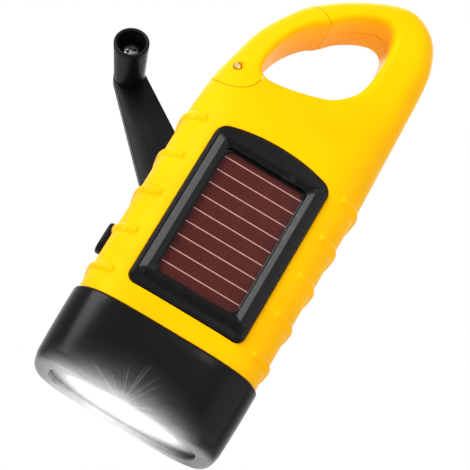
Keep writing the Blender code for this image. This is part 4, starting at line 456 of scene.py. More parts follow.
def mesh_object(name, points, faces, angle=SHARP_ANGLE):
    """One closed body from points and faces, with its faces turned outward."""
    shape = bmesh.new()
    corners = [shape.verts.new(point) for point in points]
    for face in faces:
        shape.faces.new([corners[index] for index in face])
    bmesh.ops.recalc_face_normals(shape, faces=shape.faces)
    mesh = bpy.data.meshes.new(name)
    shape.to_mesh(mesh)
    shape.free()
    made = add_object(name, mesh)
    shade(made, angle)
    return made


def ring_faces(count, levels, closed=False):
    """Faces between rings of points that are numbered ring after ring."""
    faces = []
    for level in range(levels if closed else levels - 1):
        low, high = level * count, (level + 1) % levels * count
        for index in range(count):
            following = (index + 1) % count
            faces.append((low + index, low + following, high + following, high + index))
    return faces


def loft(name, rings, closed=False, angle=SHARP_ANGLE):
    """A body through rings of equally many points: capped, or with its last ring joined to the first."""
    count = len(rings[0])
    points = [point for ring in rings for point in ring]
    faces = ring_faces(count, len(rings), closed)
    if not closed:
        faces += [tuple(range(count)), tuple(range(len(points) - count, len(points)))]
    return mesh_object(name, points, faces, angle)


def along_axis(axis, u, v, w):
    """A point from two coordinates across an axis and one along it."""
    return {"x": (w, u, v), "y": (u, w, v), "z": (u, v, w)}[axis]


def prism(name, outline, start, end, axis="y"):
    """An outline extruded along an axis: (x, z) along y, (x, y) along z, (y, z) along x."""
    return loft(name, [[along_axis(axis, u, v, w) for u, v in outline] for w in (start, end)])


def arc(centre, radius, start, turn, steps):
    """Points along an arc, both ends included."""
    return [
        (centre[0] + radius * cos(start + turn * step / steps),
         centre[1] + radius * sin(start + turn * step / steps))
        for step in range(steps + 1)
    ]


def quarter(steps):
    """Sine and cosine at the steps of a quarter turn."""
    return [(sin(pi / 2 * step / steps), cos(pi / 2 * step / steps)) for step in range(steps + 1)]


def turned(name, profile, count, centre=(0.0, 0.0), axis="y"):
    """A solid of revolution: profile is (radius, height) from one end to the other, and a height
    at radius zero closes an end to a point."""
    points, faces, rings = [], [], []
    for radius, height in profile:
        around = arc(centre, radius, 0.0, 2 * pi, count)[:-1] if radius else [centre]
        rings.append([len(points) + (index if radius else 0) for index in range(count)])
        points += [along_axis(axis, u, v, height) for u, v in around]
    for low, high in zip(rings, rings[1:]):
        for index in range(count):
            following = (index + 1) % count
            corners = (low[index], low[following], high[following], high[index])
            faces.append(list(dict.fromkeys(corners)))
    faces += [ring for ring in (rings[0], rings[-1]) if ring[0] != ring[1]]
    return mesh_object(name, points, faces)


def drill(radius, start, end, centre=(0.0, 0.0), count=16, axis="y"):
    return turned("drill", ((radius, start), (radius, end)), count, centre, axis)


def box(low, high):
    outline = ((low[0], low[2]), (high[0], low[2]), (high[0], high[2]), (low[0], high[2]))
    return prism("box", outline, low[1], high[1])


def copy_of(piece, name):
    return add_object(name, piece.data.copy())


def group(pieces):
    """Several separate bodies in one object."""
    shape = bmesh.new()
    for piece in pieces:
        shape.from_mesh(piece.data)
        bpy.data.objects.remove(piece)
    made = add_object("kept", bpy.data.meshes.new("kept"))
    shape.to_mesh(made.data)
    shape.free()
    shade(made)
    return made


def cross_recess(radius, top, depth, centre, sign=1):
    """Tool for the cross in a screw's head, tapered towards its bottom."""
    wide, narrow = radius * 0.26, radius * 0.16
    reach, short = radius * 0.62, radius * 0.42
    over = 0.2 * MM

    def ring(reach_at, half, height):
        corners, line = [(reach_at, -half), (reach_at, half), (half, half)], []
        for _ in range(4):
            line += corners
            corners = [(-v, u) for u, v in corners]
        return [(centre[0] + u, height, centre[1] + v) for u, v in line]

    return loft("recess", [
        ring(reach, wide, top + sign * over), ring(reach, wide, top),
        ring(short, narrow, top - sign * depth),
    ])


def smooth_wire(name, path, radius):
    """A round wire along a path of points, with filled ends."""
    curve = bpy.data.curves.new(name, "CURVE")
    curve.dimensions = "3D"
    curve.bevel_depth = radius
    curve.bevel_resolution = WIRE_ROUNDNESS
    curve.use_fill_caps = True
    line = curve.splines.new("POLY")
    line.points.add(len(path) - 1)
    for point, place in zip(line.points, path):
        point.co = (*place, 1.0)
    drawn = add_object(name, curve)
    mesh = evaluated(drawn)
    bpy.data.objects.remove(drawn)
    weld(mesh, radius / 100, outward=True)
    made = add_object(name, mesh)
    shade(made)
    return made


def settle(piece, body, look, node, turn=None):
    """Put a finished piece in the row's frame on its body, with its material, for a CAD node."""
    if turn is not None:
        piece.data.transform(turn)
    piece.data.transform(Matrix.Translation((0.0, 0.0, -LENS_RECESS)))
    piece.data.materials.clear()
    piece.data.materials.append(looks[look].material)
    if body:
        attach(piece, body)
    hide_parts(node)


# Lines and sections

def spline(points, steps, closed):
    """Points along a smooth curve through the given ones."""
    count = len(points)
    found = []
    for span in range(count if closed else count - 1):
        four = [
            points[(span + shift) % count if closed else min(max(span + shift, 0), count - 1)]
            for shift in (-1, 0, 1, 2)
        ]
        for step in range(steps):
            t = step / steps
            found.append(tuple(
                0.5 * (2 * b + (c - a) * t + (2 * a - 5 * b + 4 * c - d) * t * t
                       + (3 * b - a - 3 * c + d) * t * t * t)
                for a, b, c, d in zip(*four)
            ))
    return found if closed else found + [tuple(points[-1])]


def even_points(line, count):
    """Points at even steps along an open line, both ends included."""
    lengths = [0.0]
    for (x1, z1), (x2, z2) in zip(line, line[1:]):
        lengths.append(lengths[-1] + hypot(x2 - x1, z2 - z1))
    found = []
    span = 0
    for step in range(count + 1):
        goal = lengths[-1] * step / count
        while span < len(line) - 2 and lengths[span + 1] < goal:
            span += 1
        share = (goal - lengths[span]) / (lengths[span + 1] - lengths[span])
        found.append(tuple(a + share * (b - a) for a, b in zip(line[span], line[span + 1])))
    return found


def distance_to_line(x, z, line):
    gaps = []
    for (x1, z1), (x2, z2) in zip(line, line[1:]):
        dx, dz = x2 - x1, z2 - z1
        share = ((x - x1) * dx + (z - z1) * dz) / (dx * dx + dz * dz)
        share = min(max(share, 0.0), 1.0)
        gaps.append(hypot(x - x1 - share * dx, z - z1 - share * dz))
    return min(gaps)


def smooth_step(value):
    value = min(max(value, 0.0), 1.0)
    return value * value * (3 - 2 * value)


def shared_place(share):
    return (share[0] * CASE_HALF_WIDTH, SHOULDER_Z + share[1] * RING_HEIGHT)


GATE_PIN = shared_place(GATE_PIN_SHARES)
RING_OUTLINE = spline([shared_place(share) for share in RING_OUTLINE_SHARES], OUTLINE_STEPS, False)
HOLE_OUTLINE = spline([shared_place(share) for share in HOLE_OUTLINE_SHARES], OUTLINE_STEPS, True)
SIDE_LINE = [
    (CASE_HALF_WIDTH, SHOULDER_Z - CASE_STRAIGHT), *RING_OUTLINE,
    (-CASE_HALF_WIDTH, SHOULDER_Z - CASE_STRAIGHT),
]


def narrowing(z):
    """0 where the case has its full thickness, 1 in the ring."""
    return smooth_step((z - SHOULDER_Z + NARROWING_START) / NARROWING_LENGTH)


def surface_height(x, z):
    """Height of the case's face above its middle plane, without the hole's rounding."""
    mix = narrowing(z)
    full = CASE_HALF_THICKNESS + mix * (RING_HALF_THICKNESS - CASE_HALF_THICKNESS)
    reach = CASE_HALF_WIDTH + mix * (RING_ROUNDING - CASE_HALF_WIDTH)
    power = SECTION_POWER + mix * (RING_POWER - SECTION_POWER)
    inward = min(distance_to_line(x, z, SIDE_LINE) / reach, 1.0)
    return full * (1 - (1 - inward) ** power) ** (1 / power)


def section(half_width, half_thickness, z, power=SECTION_POWER):
    """Closed ring of a superellipse at one height, front face first, from -X to +X."""
    ring = []
    for step in range(2 * SECTION_COLUMNS):
        angle = pi * step / SECTION_COLUMNS
        along = copysign(abs(cos(angle)) ** (2 / power), -cos(angle))
        across = copysign(abs(sin(angle)) ** (2 / power), -sin(angle)) if step % SECTION_COLUMNS else 0.0
        ring.append((along * half_width, across * half_thickness, z))
    return ring


def oval(half_width, half_height, z):
    """Ring in the shape of the lamp's opening."""
    return section(half_width, half_height, z, LENS_POWER)


def hole_point(angle, centre):
    """Where a ray from the hole's centre meets the hole's outline."""
    ray = (cos(angle), sin(angle))
    reaches = []
    for (x1, z1), (x2, z2) in zip(HOLE_OUTLINE, HOLE_OUTLINE[1:] + HOLE_OUTLINE[:1]):
        dx, dz = x2 - x1, z2 - z1
        spread = ray[0] * dz - ray[1] * dx
        if abs(spread) < 1e-12:
            continue
        reach = ((x1 - centre[0]) * dz - (z1 - centre[1]) * dx) / spread
        share = ((x1 - centre[0]) * ray[1] - (z1 - centre[1]) * ray[0]) / spread
        if reach > 0 and -1e-9 <= share <= 1 + 1e-9:
            reaches.append(reach)
    return (centre[0] + min(reaches) * ray[0], centre[1] + min(reaches) * ray[1])


def arch_turn(half_width, corner, rise):
    """How far a top corner turns until the arch goes on from it without a kink."""
    turn = pi / 2
    for _ in range(12):
        turn = atan2(half_width - corner + corner * cos(turn), 2 * rise)
    return turn


def arch(half_width, corner, turn, top, rise, steps):
    """Points of the arch between two top corners, from right to left, both ends included."""
    inner = half_width - corner + corner * cos(turn)
    line = [inner * (1 - step / steps) for step in range(2 * steps + 1)]
    return [(x, top + rise * (1 - (x / inner) ** 2)) for x in line]


def rounded_box(half_width, bottom, top, corner, steps=14, top_corner=None, rise=0.0):
    """Outline of a rectangle with round corners, and an arched top if it rises."""
    top_corner = top_corner or corner
    turn = arch_turn(half_width, top_corner, rise)
    right = arc((half_width - corner, bottom + corner), corner, -pi / 2, pi / 2, steps)
    right += arc(
        (half_width - top_corner, top - top_corner * sin(turn)), top_corner, 0.0, turn, steps,
    )
    middle = arch(half_width, top_corner, turn, top, rise, steps)[1:-1] if rise else []
    return right + middle + [(-x, z) for x, z in reversed(right)]


# Case

def case_levels():
    """Heights of the case's cross-sections, close together on the grip ribs."""
    start, end = HEAD_LENGTH + REST_GAP, SHOULDER_Z - NARROWING_START
    levels = {start, end}
    for middle in RIB_MIDDLES:
        for step in range(-RIB_LEVELS, RIB_LEVELS + 1):
            levels.add(middle + RIB_SPREAD * step / RIB_LEVELS)
    found = [level for level in sorted(levels) if start <= level <= end]
    filled = []
    for low, high in zip(found, found[1:]):
        parts = max(1, round((high - low) / PLAIN_STEP))
        filled += [low + (high - low) * part / parts for part in range(parts)]
    return filled + [end]


def rib_height(x, y, z):
    """How far a grip rib lifts the case's side at a point."""
    share = abs(x) / CASE_HALF_WIDTH
    fade = smooth_step((share - RIB_FADE_START) / (RIB_FADE_END - RIB_FADE_START))
    best = 0.0
    for middle in RIB_MIDDLES:
        away = (z - middle) / RIB_SPREAD
        if abs(away) < 1.0:
            lift = (0.5 + 0.5 * cos(pi * away)) ** RIB_FULLNESS
            if x < 0 and abs(middle - BUTTON_Z) < RIB_PITCH / 2:
                lift *= smooth_step((abs(y) - BUTTON_BARE) / RIB_HALF_HEIGHT)
            best = max(best, lift)
    return RIB_PROUD * best * fade


def case_section(z):
    ring = []
    for x, y, _ in section(CASE_HALF_WIDTH, CASE_HALF_THICKNESS, z):
        lift = rib_height(x, y, z)
        if lift:
            normal = Vector([
                copysign(abs(part / half) ** (SECTION_POWER - 1) / half, part)
                for part, half in ((x, CASE_HALF_WIDTH), (y, CASE_HALF_THICKNESS))
            ]).normalized()
            x, y = x + normal.x * lift, y + normal.y * lift
        ring.append((x, y, z))
    return ring


def case_stations():
    """Cross-sections of the case from the end of its neck up to the shoulder."""
    rings = [section(NECK_HALF_WIDTH, NECK_HALF_THICKNESS, z) for z in (NECK_END_Z, HEAD_LENGTH + REST_GAP)]
    rings += [case_section(z) for z in case_levels()]
    for step in range(1, SHOULDER_LEVELS + 1):
        z = SHOULDER_Z - NARROWING_START * (1 - step / SHOULDER_LEVELS)
        flat = section(CASE_HALF_WIDTH, 1.0, z)
        rings.append([(x, (1 if y > 0 else -1) * surface_height(x, z), z) for x, y, z in flat])
    return rings


def ray_distances(length):
    """Where the rows of points lie between the hole's edge and the outline."""
    inner = RING_INNER_ROUNDING
    outer = min(RING_ROUNDING, length - inner - 1.0 * MM)
    middle = length - inner - outer
    return (
        *(inner * share for share in INNER_ROWS),
        *(inner + middle * step / MIDDLE_ROWS for step in range(1, MIDDLE_ROWS)),
        *(length - outer * share for share in OUTER_ROWS),
    )


def hole_rounding(inward):
    """How far the face has dropped at a distance from the hole's edge."""
    share = 1 - min(inward / RING_INNER_ROUNDING, 1.0)
    return RING_INNER_ROUNDING * (1 - sqrt(1 - share * share))


def case_blank():
    """The case, the ring and the gate as one solid, before they are parted."""
    stations = case_stations()
    count = 2 * SECTION_COLUMNS
    points = [point for ring in stations for point in ring]
    faces = ring_faces(count, len(stations)) + [tuple(range(count))]
    shoulder = len(points) - count

    # The outline, each point with its number in the front face and in the rear one
    edge = []
    for step in range(SECTION_COLUMNS + 1):
        x, _, z = stations[-1][step]
        edge.append((x, z, shoulder + step, shoulder + (count - step) % count))
    for x, z in even_points(RING_OUTLINE, RING_COLUMNS)[1:-1]:
        edge.append((x, z, len(points), len(points)))
        points.append((x, 0.0, z))

    centre = shared_place(HOLE_CENTRE_SHARES)
    front, rear = [], []
    for x, z, front_end, rear_end in edge:
        start = hole_point(atan2(z - centre[1], x - centre[0]), centre)
        length = hypot(x - start[0], z - start[1])
        first = len(points)
        for distance in ray_distances(length):
            share = distance / length
            at = (start[0] + share * (x - start[0]), start[1] + share * (z - start[1]))
            height = surface_height(*at) - hole_rounding(distance)
            points += [(at[0], -height, at[1]), (at[0], height, at[1])]
        front.append([*range(first, len(points), 2), front_end])
        rear.append([*range(first + 1, len(points), 2), rear_end])
    for index in range(len(edge)):
        following = (index + 1) % len(edge)
        for rows in (front, rear):
            near, far = rows[index], rows[following]
            faces += [
                (near[step], near[step + 1], far[step + 1], far[step]) for step in range(len(near) - 1)
            ]
        faces.append((front[index][0], front[following][0], rear[following][0], rear[index][0]))
    return mesh_object("case_blank", points, faces)


def gate_region(gap):
    """Outline of the gate's part of the ring, grown by a gap for the cut in the case."""
    foot, tip = GATE_FOOT_RADIUS + gap, GATE_LENGTH + gap
    start, steps = GATE_FOOT_END - 2 * pi, 28
    x, z = GATE_PIN
    return [
        *arc(GATE_PIN, foot, GATE_FOOT_START, GATE_FOOT_END - GATE_FOOT_START, steps),
        *arc(GATE_PIN, tip, start, GATE_TIP_END - start, steps),
        (x - tip, z + tip * sin(GATE_TIP_END)), (x - tip, z + foot * sin(GATE_FOOT_START)),
    ]


def strip(angle, start, end):
    """Outline of the room for a leg of the gate's spring, from one distance to another."""
    along, across = Vector((cos(angle), sin(angle))), Vector((-sin(angle), cos(angle)))
    room = GATE_SPRING_ROOM
    return [
        tuple(Vector(GATE_PIN) + along * reach + across * side)
        for reach, side in ((start, -room), (end, -room), (end, room), (start, room))
    ]


def spring_pocket():
    """Space for the coil and its two legs in the case's tongue."""
    half, room = GATE_SPRING_HALF, GATE_SPRING_ROOM
    first = GATE_SPRING_GATE_ANGLE + GATE_SPRING_PLAY
    last = GATE_SPRING_GATE_ANGLE - GATE_TRAVEL - GATE_SPRING_PLAY
    sweep = [GATE_PIN, *arc(GATE_PIN, GATE_FOOT_RADIUS + OVERRUN, first, last - first, 5)]
    leg = strip(GATE_SPRING_CASE_ANGLE, 0.0, GATE_FOOT_RADIUS - REST_GAP)
    return join(
        drill(GATE_SPRING_RADIUS + 2 * room, -half - room, half + room, GATE_PIN, 20),
        prism("slot", sweep, half - room, half + room), prism("slot", leg, -half - room, -half + room),
    )


def half_space(side):
    """Everything on one side of the parting plane."""
    low, high = sorted((side * HALF_GAP, side * FAR))
    wide = CASE_HALF_WIDTH + OVERRUN
    return box((-wide, low, NECK_END_Z - OVERRUN), (wide, high, SHOULDER_Z + RING_HEIGHT + OVERRUN))


def button_opening():
    outline = rounded_box(
        BUTTON_HALF_WIDTH + REST_GAP, BUTTON_Z - BUTTON_HALF_LENGTH - REST_GAP,
        BUTTON_Z + BUTTON_HALF_LENGTH + REST_GAP, BUTTON_CORNER + REST_GAP,
    )
    return prism("opening", outline, -CASE_HALF_WIDTH - OVERRUN, -INNER_HALF_WIDTH + OVERRUN / 2, "x")


def front_keeps():
    """Posts and columns that the hollow leaves standing in the front shell."""
    radius = CASE_SCREW_RADIUS + REST_GAP / 2 + CASE_COLUMN_WALL
    kept = [drill(radius, -FAR, OVERRUN, place) for place in CASE_SCREWS]
    reach = MAIN_BOARD_HALF_WIDTH - BOARD_POST_INSET
    for x in (-reach, reach):
        for z in (BOARD_BOTTOM_Z + BOARD_POST_INSET, BOARD_BOTTOM_Z + MAIN_BOARD_HEIGHT - BOARD_POST_INSET):
            kept.append(drill(BOARD_POST_RADIUS, -FAR, BOARD_FRONT_Y - REST_GAP, (x, z), 12))
    return group(kept + [box(
        (SWITCH_X + REST_GAP, -FAR, BUTTON_Z - SWITCH_HALF),
        (SWITCH_X + SWITCH_LENGTH - REST_GAP, -SWITCH_HALF - REST_GAP, BUTTON_Z + SWITCH_HALF),
    )])


def gear_axles():
    """Places of the two axles of the train, each a centre distance from the axis before."""
    x, z, found = 0.0, HUB_Z, []
    for teeth, angle in ((CRANK_TEETH, GEAR_A_DIRECTION), (WHEEL_TEETH, GEAR_B_DIRECTION)):
        reach = GEAR_MODULE * (teeth + PINION_TEETH) / 2
        x, z = x + reach * cos(angle), z + reach * sin(angle)
        found.append((x, z))
    return found


def rear_keeps():
    """Bosses, posts and columns that the hollow leaves standing in the rear shell."""
    radius = CASE_SCREW_HEAD + REST_GAP / 2 + CASE_COLUMN_WALL
    kept = [drill(radius, -OVERRUN, FAR, place) for place in CASE_SCREWS]
    kept.append(drill(BOSS_RADIUS, BOSS_UNDER_Y, FAR, (0.0, HUB_Z), 32))
    radius = AXLE_RADIUS + REST_GAP / 2 + AXLE_BOSS_WALL
    kept += [drill(radius, BOSS_UNDER_Y, FAR, place, 14) for place in gear_axles()]
    kept += [drill(POST_RADIUS, PLATE_TOP_Y + REST_GAP, FAR, place, 14) for place in POSTS]
    return group(kept)


def cavity():
    """The hollow of the case."""
    rear = CASE_HALF_THICKNESS - CASE_WALL
    front = CASE_HALF_THICKNESS - CASE_FRONT_WALL
    neck_width, neck_depth = NECK_HALF_WIDTH - CASE_WALL, NECK_HALF_THICKNESS - CASE_WALL
    start = SHOULDER_Z - NARROWING_START
    opened = HEAD_LENGTH + REST_GAP + CASE_WALL

    def hollow(half_width, front_depth, rear_depth, z):
        return [
            (x, y * (front_depth if y < 0 else rear_depth), z) for x, y, z in section(half_width, 1.0, z)
        ]

    rings = [hollow(neck_width, neck_depth, neck_depth, z) for z in (NECK_END_Z - OVERRUN, opened)]
    rings += [hollow(INNER_HALF_WIDTH, front, rear, z) for z in (opened, start)]
    for share in (0.5, 1.0):
        z = start + share * (HOLE_BOTTOM_Z - CAVITY_TOP_BELOW_HOLE - start)
        loss = narrowing(z) * (CASE_HALF_THICKNESS - RING_HALF_THICKNESS) + share * CASE_WALL
        rings.append(hollow(INNER_HALF_WIDTH - share * CASE_WALL, front - loss, rear - loss, z))
    keep = GATE_FOOT_RADIUS + REST_GAP + CASE_WALL
    return cut(loft("cavity", rings), drill(keep, -FAR, FAR, GATE_PIN, 32))


def make_front_half(blank):
    half = cross(copy_of(blank, "front_half"), half_space(-1))
    bottom = HEAD_LENGTH + BEZEL_BOTTOM
    seat = rounded_box(
        BEZEL_HALF_WIDTH + REST_GAP, bottom - REST_GAP, bottom + BEZEL_SIDE_HEIGHT + REST_GAP,
        BEZEL_CORNER + REST_GAP, top_corner=BEZEL_TOP_CORNER + REST_GAP, rise=BEZEL_ARCH_RISE,
    )
    room = CELL_BORDER + REST_GAP
    cell = rounded_box(
        CELL_HALF_WIDTH + room, CELL_BOTTOM_Z - room, CELL_BOTTOM_Z + CELL_HEIGHT + room,
        CELL_CORNER + room / 2,
    )
    radius = CASE_SCREW_RADIUS + REST_GAP / 2
    cable = (0.0, CELL_BOTTOM_Z + CELL_HEIGHT - SOLAR_CABLE_BELOW_CELL_TOP)
    cut(
        half, cut(cavity(), front_keeps()),
        *(drill(radius, -CASE_SCREW_GRIP - REST_GAP, OVERRUN, place, 24) for place in CASE_SCREWS),
        drill(CABLE_RADIUS + REST_GAP, CELL_BACK_Y - OVERRUN / 2, CELL_BACK_Y + OVERRUN / 2, cable, 24),
        prism("pocket", seat, -FAR, -CASE_HALF_THICKNESS + BEZEL_SEAT_DEPTH),
        prism("pocket", cell, -FAR, CELL_BACK_Y + REST_GAP), button_opening(),
    )
    settle(half, "case", "yellow", "front_shell")


def make_rear_half(blank):
    half = cross(copy_of(blank, "rear_half"), half_space(1))
    hub = (0.0, HUB_Z)
    play = REST_GAP / 2
    bush = SPINDLE_RADIUS + RUN_GAP + BUSH_WALL
    under, head = CASE_SCREW_HEAD_LEVEL - REST_GAP, CASE_SCREW_HEAD + play
    counterbore = (
        (CASE_SCREW_RADIUS + play, -OVERRUN / 2), (CASE_SCREW_RADIUS + play, under),
        (head, under), (head, FAR),
    )
    axle_ends = (BOSS_UNDER_Y - OVERRUN / 2, BOSS_UNDER_Y + AXLE_SOCKET)
    screw_ends = (PLATE_TOP_Y - OVERRUN / 2, PLATE_TOP_Y + PLATE_SCREW_LENGTH)
    cut(
        half, cut(cavity(), rear_keeps()), drill(HUB_RADIUS + REST_GAP, RECESS_FLOOR_Y, FAR, hub, 96),
        drill(bush + play, BOSS_UNDER_Y - OVERRUN, FAR, hub, 48),
        *(drill(AXLE_RADIUS + play, *axle_ends, place, 24) for place in gear_axles()),
        *(drill(PLATE_SCREW_RADIUS + play, *screw_ends, place, 24) for place in POSTS),
        *(turned("counterbore", counterbore, 14, place) for place in CASE_SCREWS), button_opening(),
    )
    settle(half, "case", "yellow", "rear_shell")


def make_gate(blank, pin_end):
    half, room, slot = GATE_SPRING_HALF, GATE_SPRING_ROOM, GATE_TONGUE_HALF + REST_GAP
    notch = strip(GATE_SPRING_GATE_ANGLE, GATE_SLOT_RADIUS - OVERRUN, GATE_SLOT_RADIUS + 6 * REST_GAP)
    dimple = GATE_PIN_RADIUS * GATE_DIMPLE_SHARE
    gate = cross(copy_of(blank, "ring_gate"), prism("region", gate_region(0.0), -FAR, FAR))
    cut(
        gate, drill(GATE_SLOT_RADIUS, -slot, slot, GATE_PIN, 96),
        drill(GATE_PIN_RADIUS + RUN_GAP, -FAR, FAR, GATE_PIN, 32),
        *(drill(dimple, side * pin_end, side * FAR, GATE_PIN, 32) for side in (-1, 1)),
        prism("notch", notch, half - room, half + room),
    )
    settle(gate, "gate", "yellow", "carabiner_gate")


def make_gate_coil():
    """The gate's spring: a coil round the pin, with one leg toward the case and the other toward the gate."""
    half = GATE_SPRING_HALF
    turn = 2 * pi * GATE_SPRING_TURNS + GATE_SPRING_GATE_ANGLE - GATE_SPRING_CASE_ANGLE
    steps = COIL_STEPS * (GATE_SPRING_TURNS + 1)

    def place(radius, angle, y):
        return GATE_PIN[0] + radius * cos(angle), y, GATE_PIN[1] + radius * sin(angle)

    path = [place(GATE_FOOT_RADIUS - 4 * REST_GAP, GATE_SPRING_CASE_ANGLE, -half)]
    for step in range(steps + 1):
        angle = GATE_SPRING_CASE_ANGLE + turn * step / steps
        path.append(place(GATE_SPRING_RADIUS, angle, -half + 2 * half * step / steps))
    path.append(place(GATE_SLOT_RADIUS + 4 * REST_GAP, GATE_SPRING_GATE_ANGLE, half))
    coil = smooth_wire("gate_coil", path, GATE_SPRING_WIRE)
    settle(coil, None, "steel", "gate_spring")
    x, level = GATE_PIN[0], GATE_PIN[1] - LENS_RECESS
    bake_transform(coil)


def make_case():
    blank = case_blank()
    pin_end = surface_height(*GATE_PIN) - GATE_PIN_SUNK
    make_gate(blank, pin_end)
    cut(
        blank,
        cut(prism("seam", gate_region(SEAM_GAP), -FAR, FAR),
            drill(GATE_TONGUE_RADIUS, -GATE_TONGUE_HALF, GATE_TONGUE_HALF, GATE_PIN, 96)),
        drill(GATE_PIN_RADIUS + RUN_GAP, -FAR, FAR, GATE_PIN, 32), spring_pocket(),
    )
    make_front_half(blank)
    make_rear_half(blank)
    bpy.data.objects.remove(blank)

    lip = 0.25 * MM
    end = [
        (GATE_PIN_RADIUS, pin_end - lip), (GATE_PIN_RADIUS * 0.6, pin_end + lip * 0.8), (0, pin_end + lip),
    ]
    profile = [(radius, -y) for radius, y in reversed(end)] + end
    settle(turned("gate_hinge", profile, 32, GATE_PIN), "case", "brass", "gate_pin")
    make_gate_coil()
    grip, radius, head = CASE_SCREW_GRIP, CASE_SCREW_RADIUS, CASE_SCREW_HEAD
    top = CASE_SCREW_HEAD_LEVEL + CASE_SCREW_HEAD_HEIGHT
    for number, place in enumerate(CASE_SCREWS, 1):
        screw = turned(f"screw_case_{number}", (
            (0, -grip), (radius * 0.6, -grip + 0.2 * MM), (radius, -grip + 0.8 * MM),
            (radius, CASE_SCREW_HEAD_LEVEL), (head, CASE_SCREW_HEAD_LEVEL), (head, top - SCREW_CROWN),
            (head * 0.94, top - SCREW_CROWN * 0.5), (head * 0.78, top - SCREW_CROWN * 0.14),
            (head * 0.5, top), (0, top),
        ), 32, place)
        cut(screw, cross_recess(head, top, 1.0 * MM, place))
        settle(screw, "case", "steel", f"case_screw_{number}")


# Lamp

def make_head():
    """The black cup: outer wall with a round nose, the rim, the lens's seat and the neck's socket."""
    top_round, edge = 0.5 * MM, 0.35 * MM
    straight = HEAD_LENGTH - HEAD_NOSE_LENGTH
    low = HEAD_LENGTH - top_round
    outer = [(top_round * (1 - c), low + top_round * s) for s, c in reversed(quarter(5))]
    for step in range(1, 8):
        outer.append((HEAD_TAPER * (step / 7) ** 2, low - (straight - top_round) * step / 7))
    for s, c in reversed(quarter(14)[:-1]):
        outer.append((HEAD_TAPER + HEAD_NOSE_INSET * (1 - s), HEAD_NOSE_LENGTH * (1 - c)))
    rings = [section(HEAD_HALF_WIDTH - inset, HEAD_HALF_THICKNESS - inset, z) for inset, z in outer]
    for s, c in quarter(5):
        gap = edge * (1 - s)
        rings.append(oval(LENS_HALF_WIDTH + gap, LENS_HALF_HEIGHT + gap, edge * (1 - c)))
    bore_width = LENS_HALF_WIDTH + LENS_BORDER + REST_GAP
    bore_height = LENS_HALF_HEIGHT + LENS_BORDER + REST_GAP
    seat_z = NECK_END_Z - REST_GAP
    rings += [
        oval(LENS_HALF_WIDTH, LENS_HALF_HEIGHT, LIP_THICKNESS),
        oval(bore_width, bore_height, LIP_THICKNESS), oval(bore_width, bore_height, seat_z),
        section(NECK_HALF_WIDTH + REST_GAP, NECK_HALF_THICKNESS + REST_GAP, seat_z),
        section(NECK_HALF_WIDTH + REST_GAP, NECK_HALF_THICKNESS + REST_GAP, HEAD_LENGTH),
    ]
    settle(loft("lamp_cup", rings, True), "case", "head", "lamp_head")


def make_lens():
    width, height = LENS_HALF_WIDTH + LENS_BORDER, LENS_HALF_HEIGHT + LENS_BORDER
    middle_width, middle_height = LENS_HALF_WIDTH - REST_GAP, LENS_HALF_HEIGHT - REST_GAP
    chamfer = 0.15 * MM
    step = LENS_RECESS + LENS_STEP
    rings = [
        oval(middle_width * share, middle_height * share, LENS_RECESS - LENS_DOME * (1 - share * share))
        for share in (0.02, 0.25, 0.5, 0.75, 0.9, 0.97)
    ]
    rings += [
        oval(middle_width - chamfer, middle_height - chamfer, LENS_RECESS),
        oval(middle_width, middle_height, LENS_RECESS + chamfer), oval(middle_width, middle_height, step),
        oval(width, height, step), oval(width, height, LENS_BACK),
    ]
    settle(loft("lens_pane", rings), "case", "lens", "lens")

    low = LENS_BACK + REST_GAP
    inner_width, inner_height = LENS_HALF_WIDTH + REST_GAP / 2, LENS_HALF_HEIGHT + REST_GAP / 2
    seal = loft("seal_ring", [
        oval(width, height, low), oval(width, height, SEAL_BACK),
        oval(inner_width, inner_height, SEAL_BACK), oval(inner_width, inner_height, low),
    ], True)
    settle(seal, "case", "rubber", "lens_seal")


def stadium(half_length, radius, z):
    """Ring of two half circles, at the ends of a line along X."""
    return [
        (x, y, z) for side in (1, -1)
        for x, y in arc((side * half_length, 0.0), radius, -side * pi / 2, pi, 12)
    ]


def make_reflector():
    width, height = LENS_HALF_WIDTH + LENS_BORDER, LENS_HALF_HEIGHT + LENS_BORDER
    front, back, reach = REFLECTOR_FRONT, REFLECTOR_BACK, LED_PLACES[-1]
    narrow = LED_RADIUS + LED_FLANGE + REST_GAP
    mirror = loft("mirror_cups", [oval(width, height, z) for z in (front, front + REFLECTOR_FLANGE)])
    join(mirror, loft("cup_body", [
        stadium(reach, CUP_RADIUS + CUP_WALL, front + REFLECTOR_FLANGE / 2),
        stadium(reach, narrow + 3 * CUP_WALL, back),
    ]))
    rounds = 20
    profile = [(narrow, back + OVERRUN)]
    for step in range(rounds + 1):
        share = step / rounds
        profile.append((narrow + (CUP_RADIUS - narrow) * sqrt(share), back - (back - front) * share))
    profile.append((CUP_RADIUS, front - OVERRUN))
    cut(mirror, *(turned("cup", profile, 72, (x, 0.0), "z") for x in LED_PLACES))
    settle(mirror, "case", "mirror", "reflector")

    dome = back - LED_LENGTH + LED_RADIUS
    flange = back - 2 * LED_FLANGE
    profile = [(0, dome - LED_RADIUS)]
    profile += [(LED_RADIUS * s, dome - LED_RADIUS * c) for s, c in quarter(11)[1:]]
    profile += [(LED_RADIUS, flange), (LED_RADIUS + LED_FLANGE, flange), (LED_RADIUS + LED_FLANGE, back)]
    for number, x in enumerate(LED_PLACES, 1):
        settle(turned(f"bulb_{number}", profile, 40, (x, 0.0), "z"), "case", "led", f"led_{number}")


# Solar cell

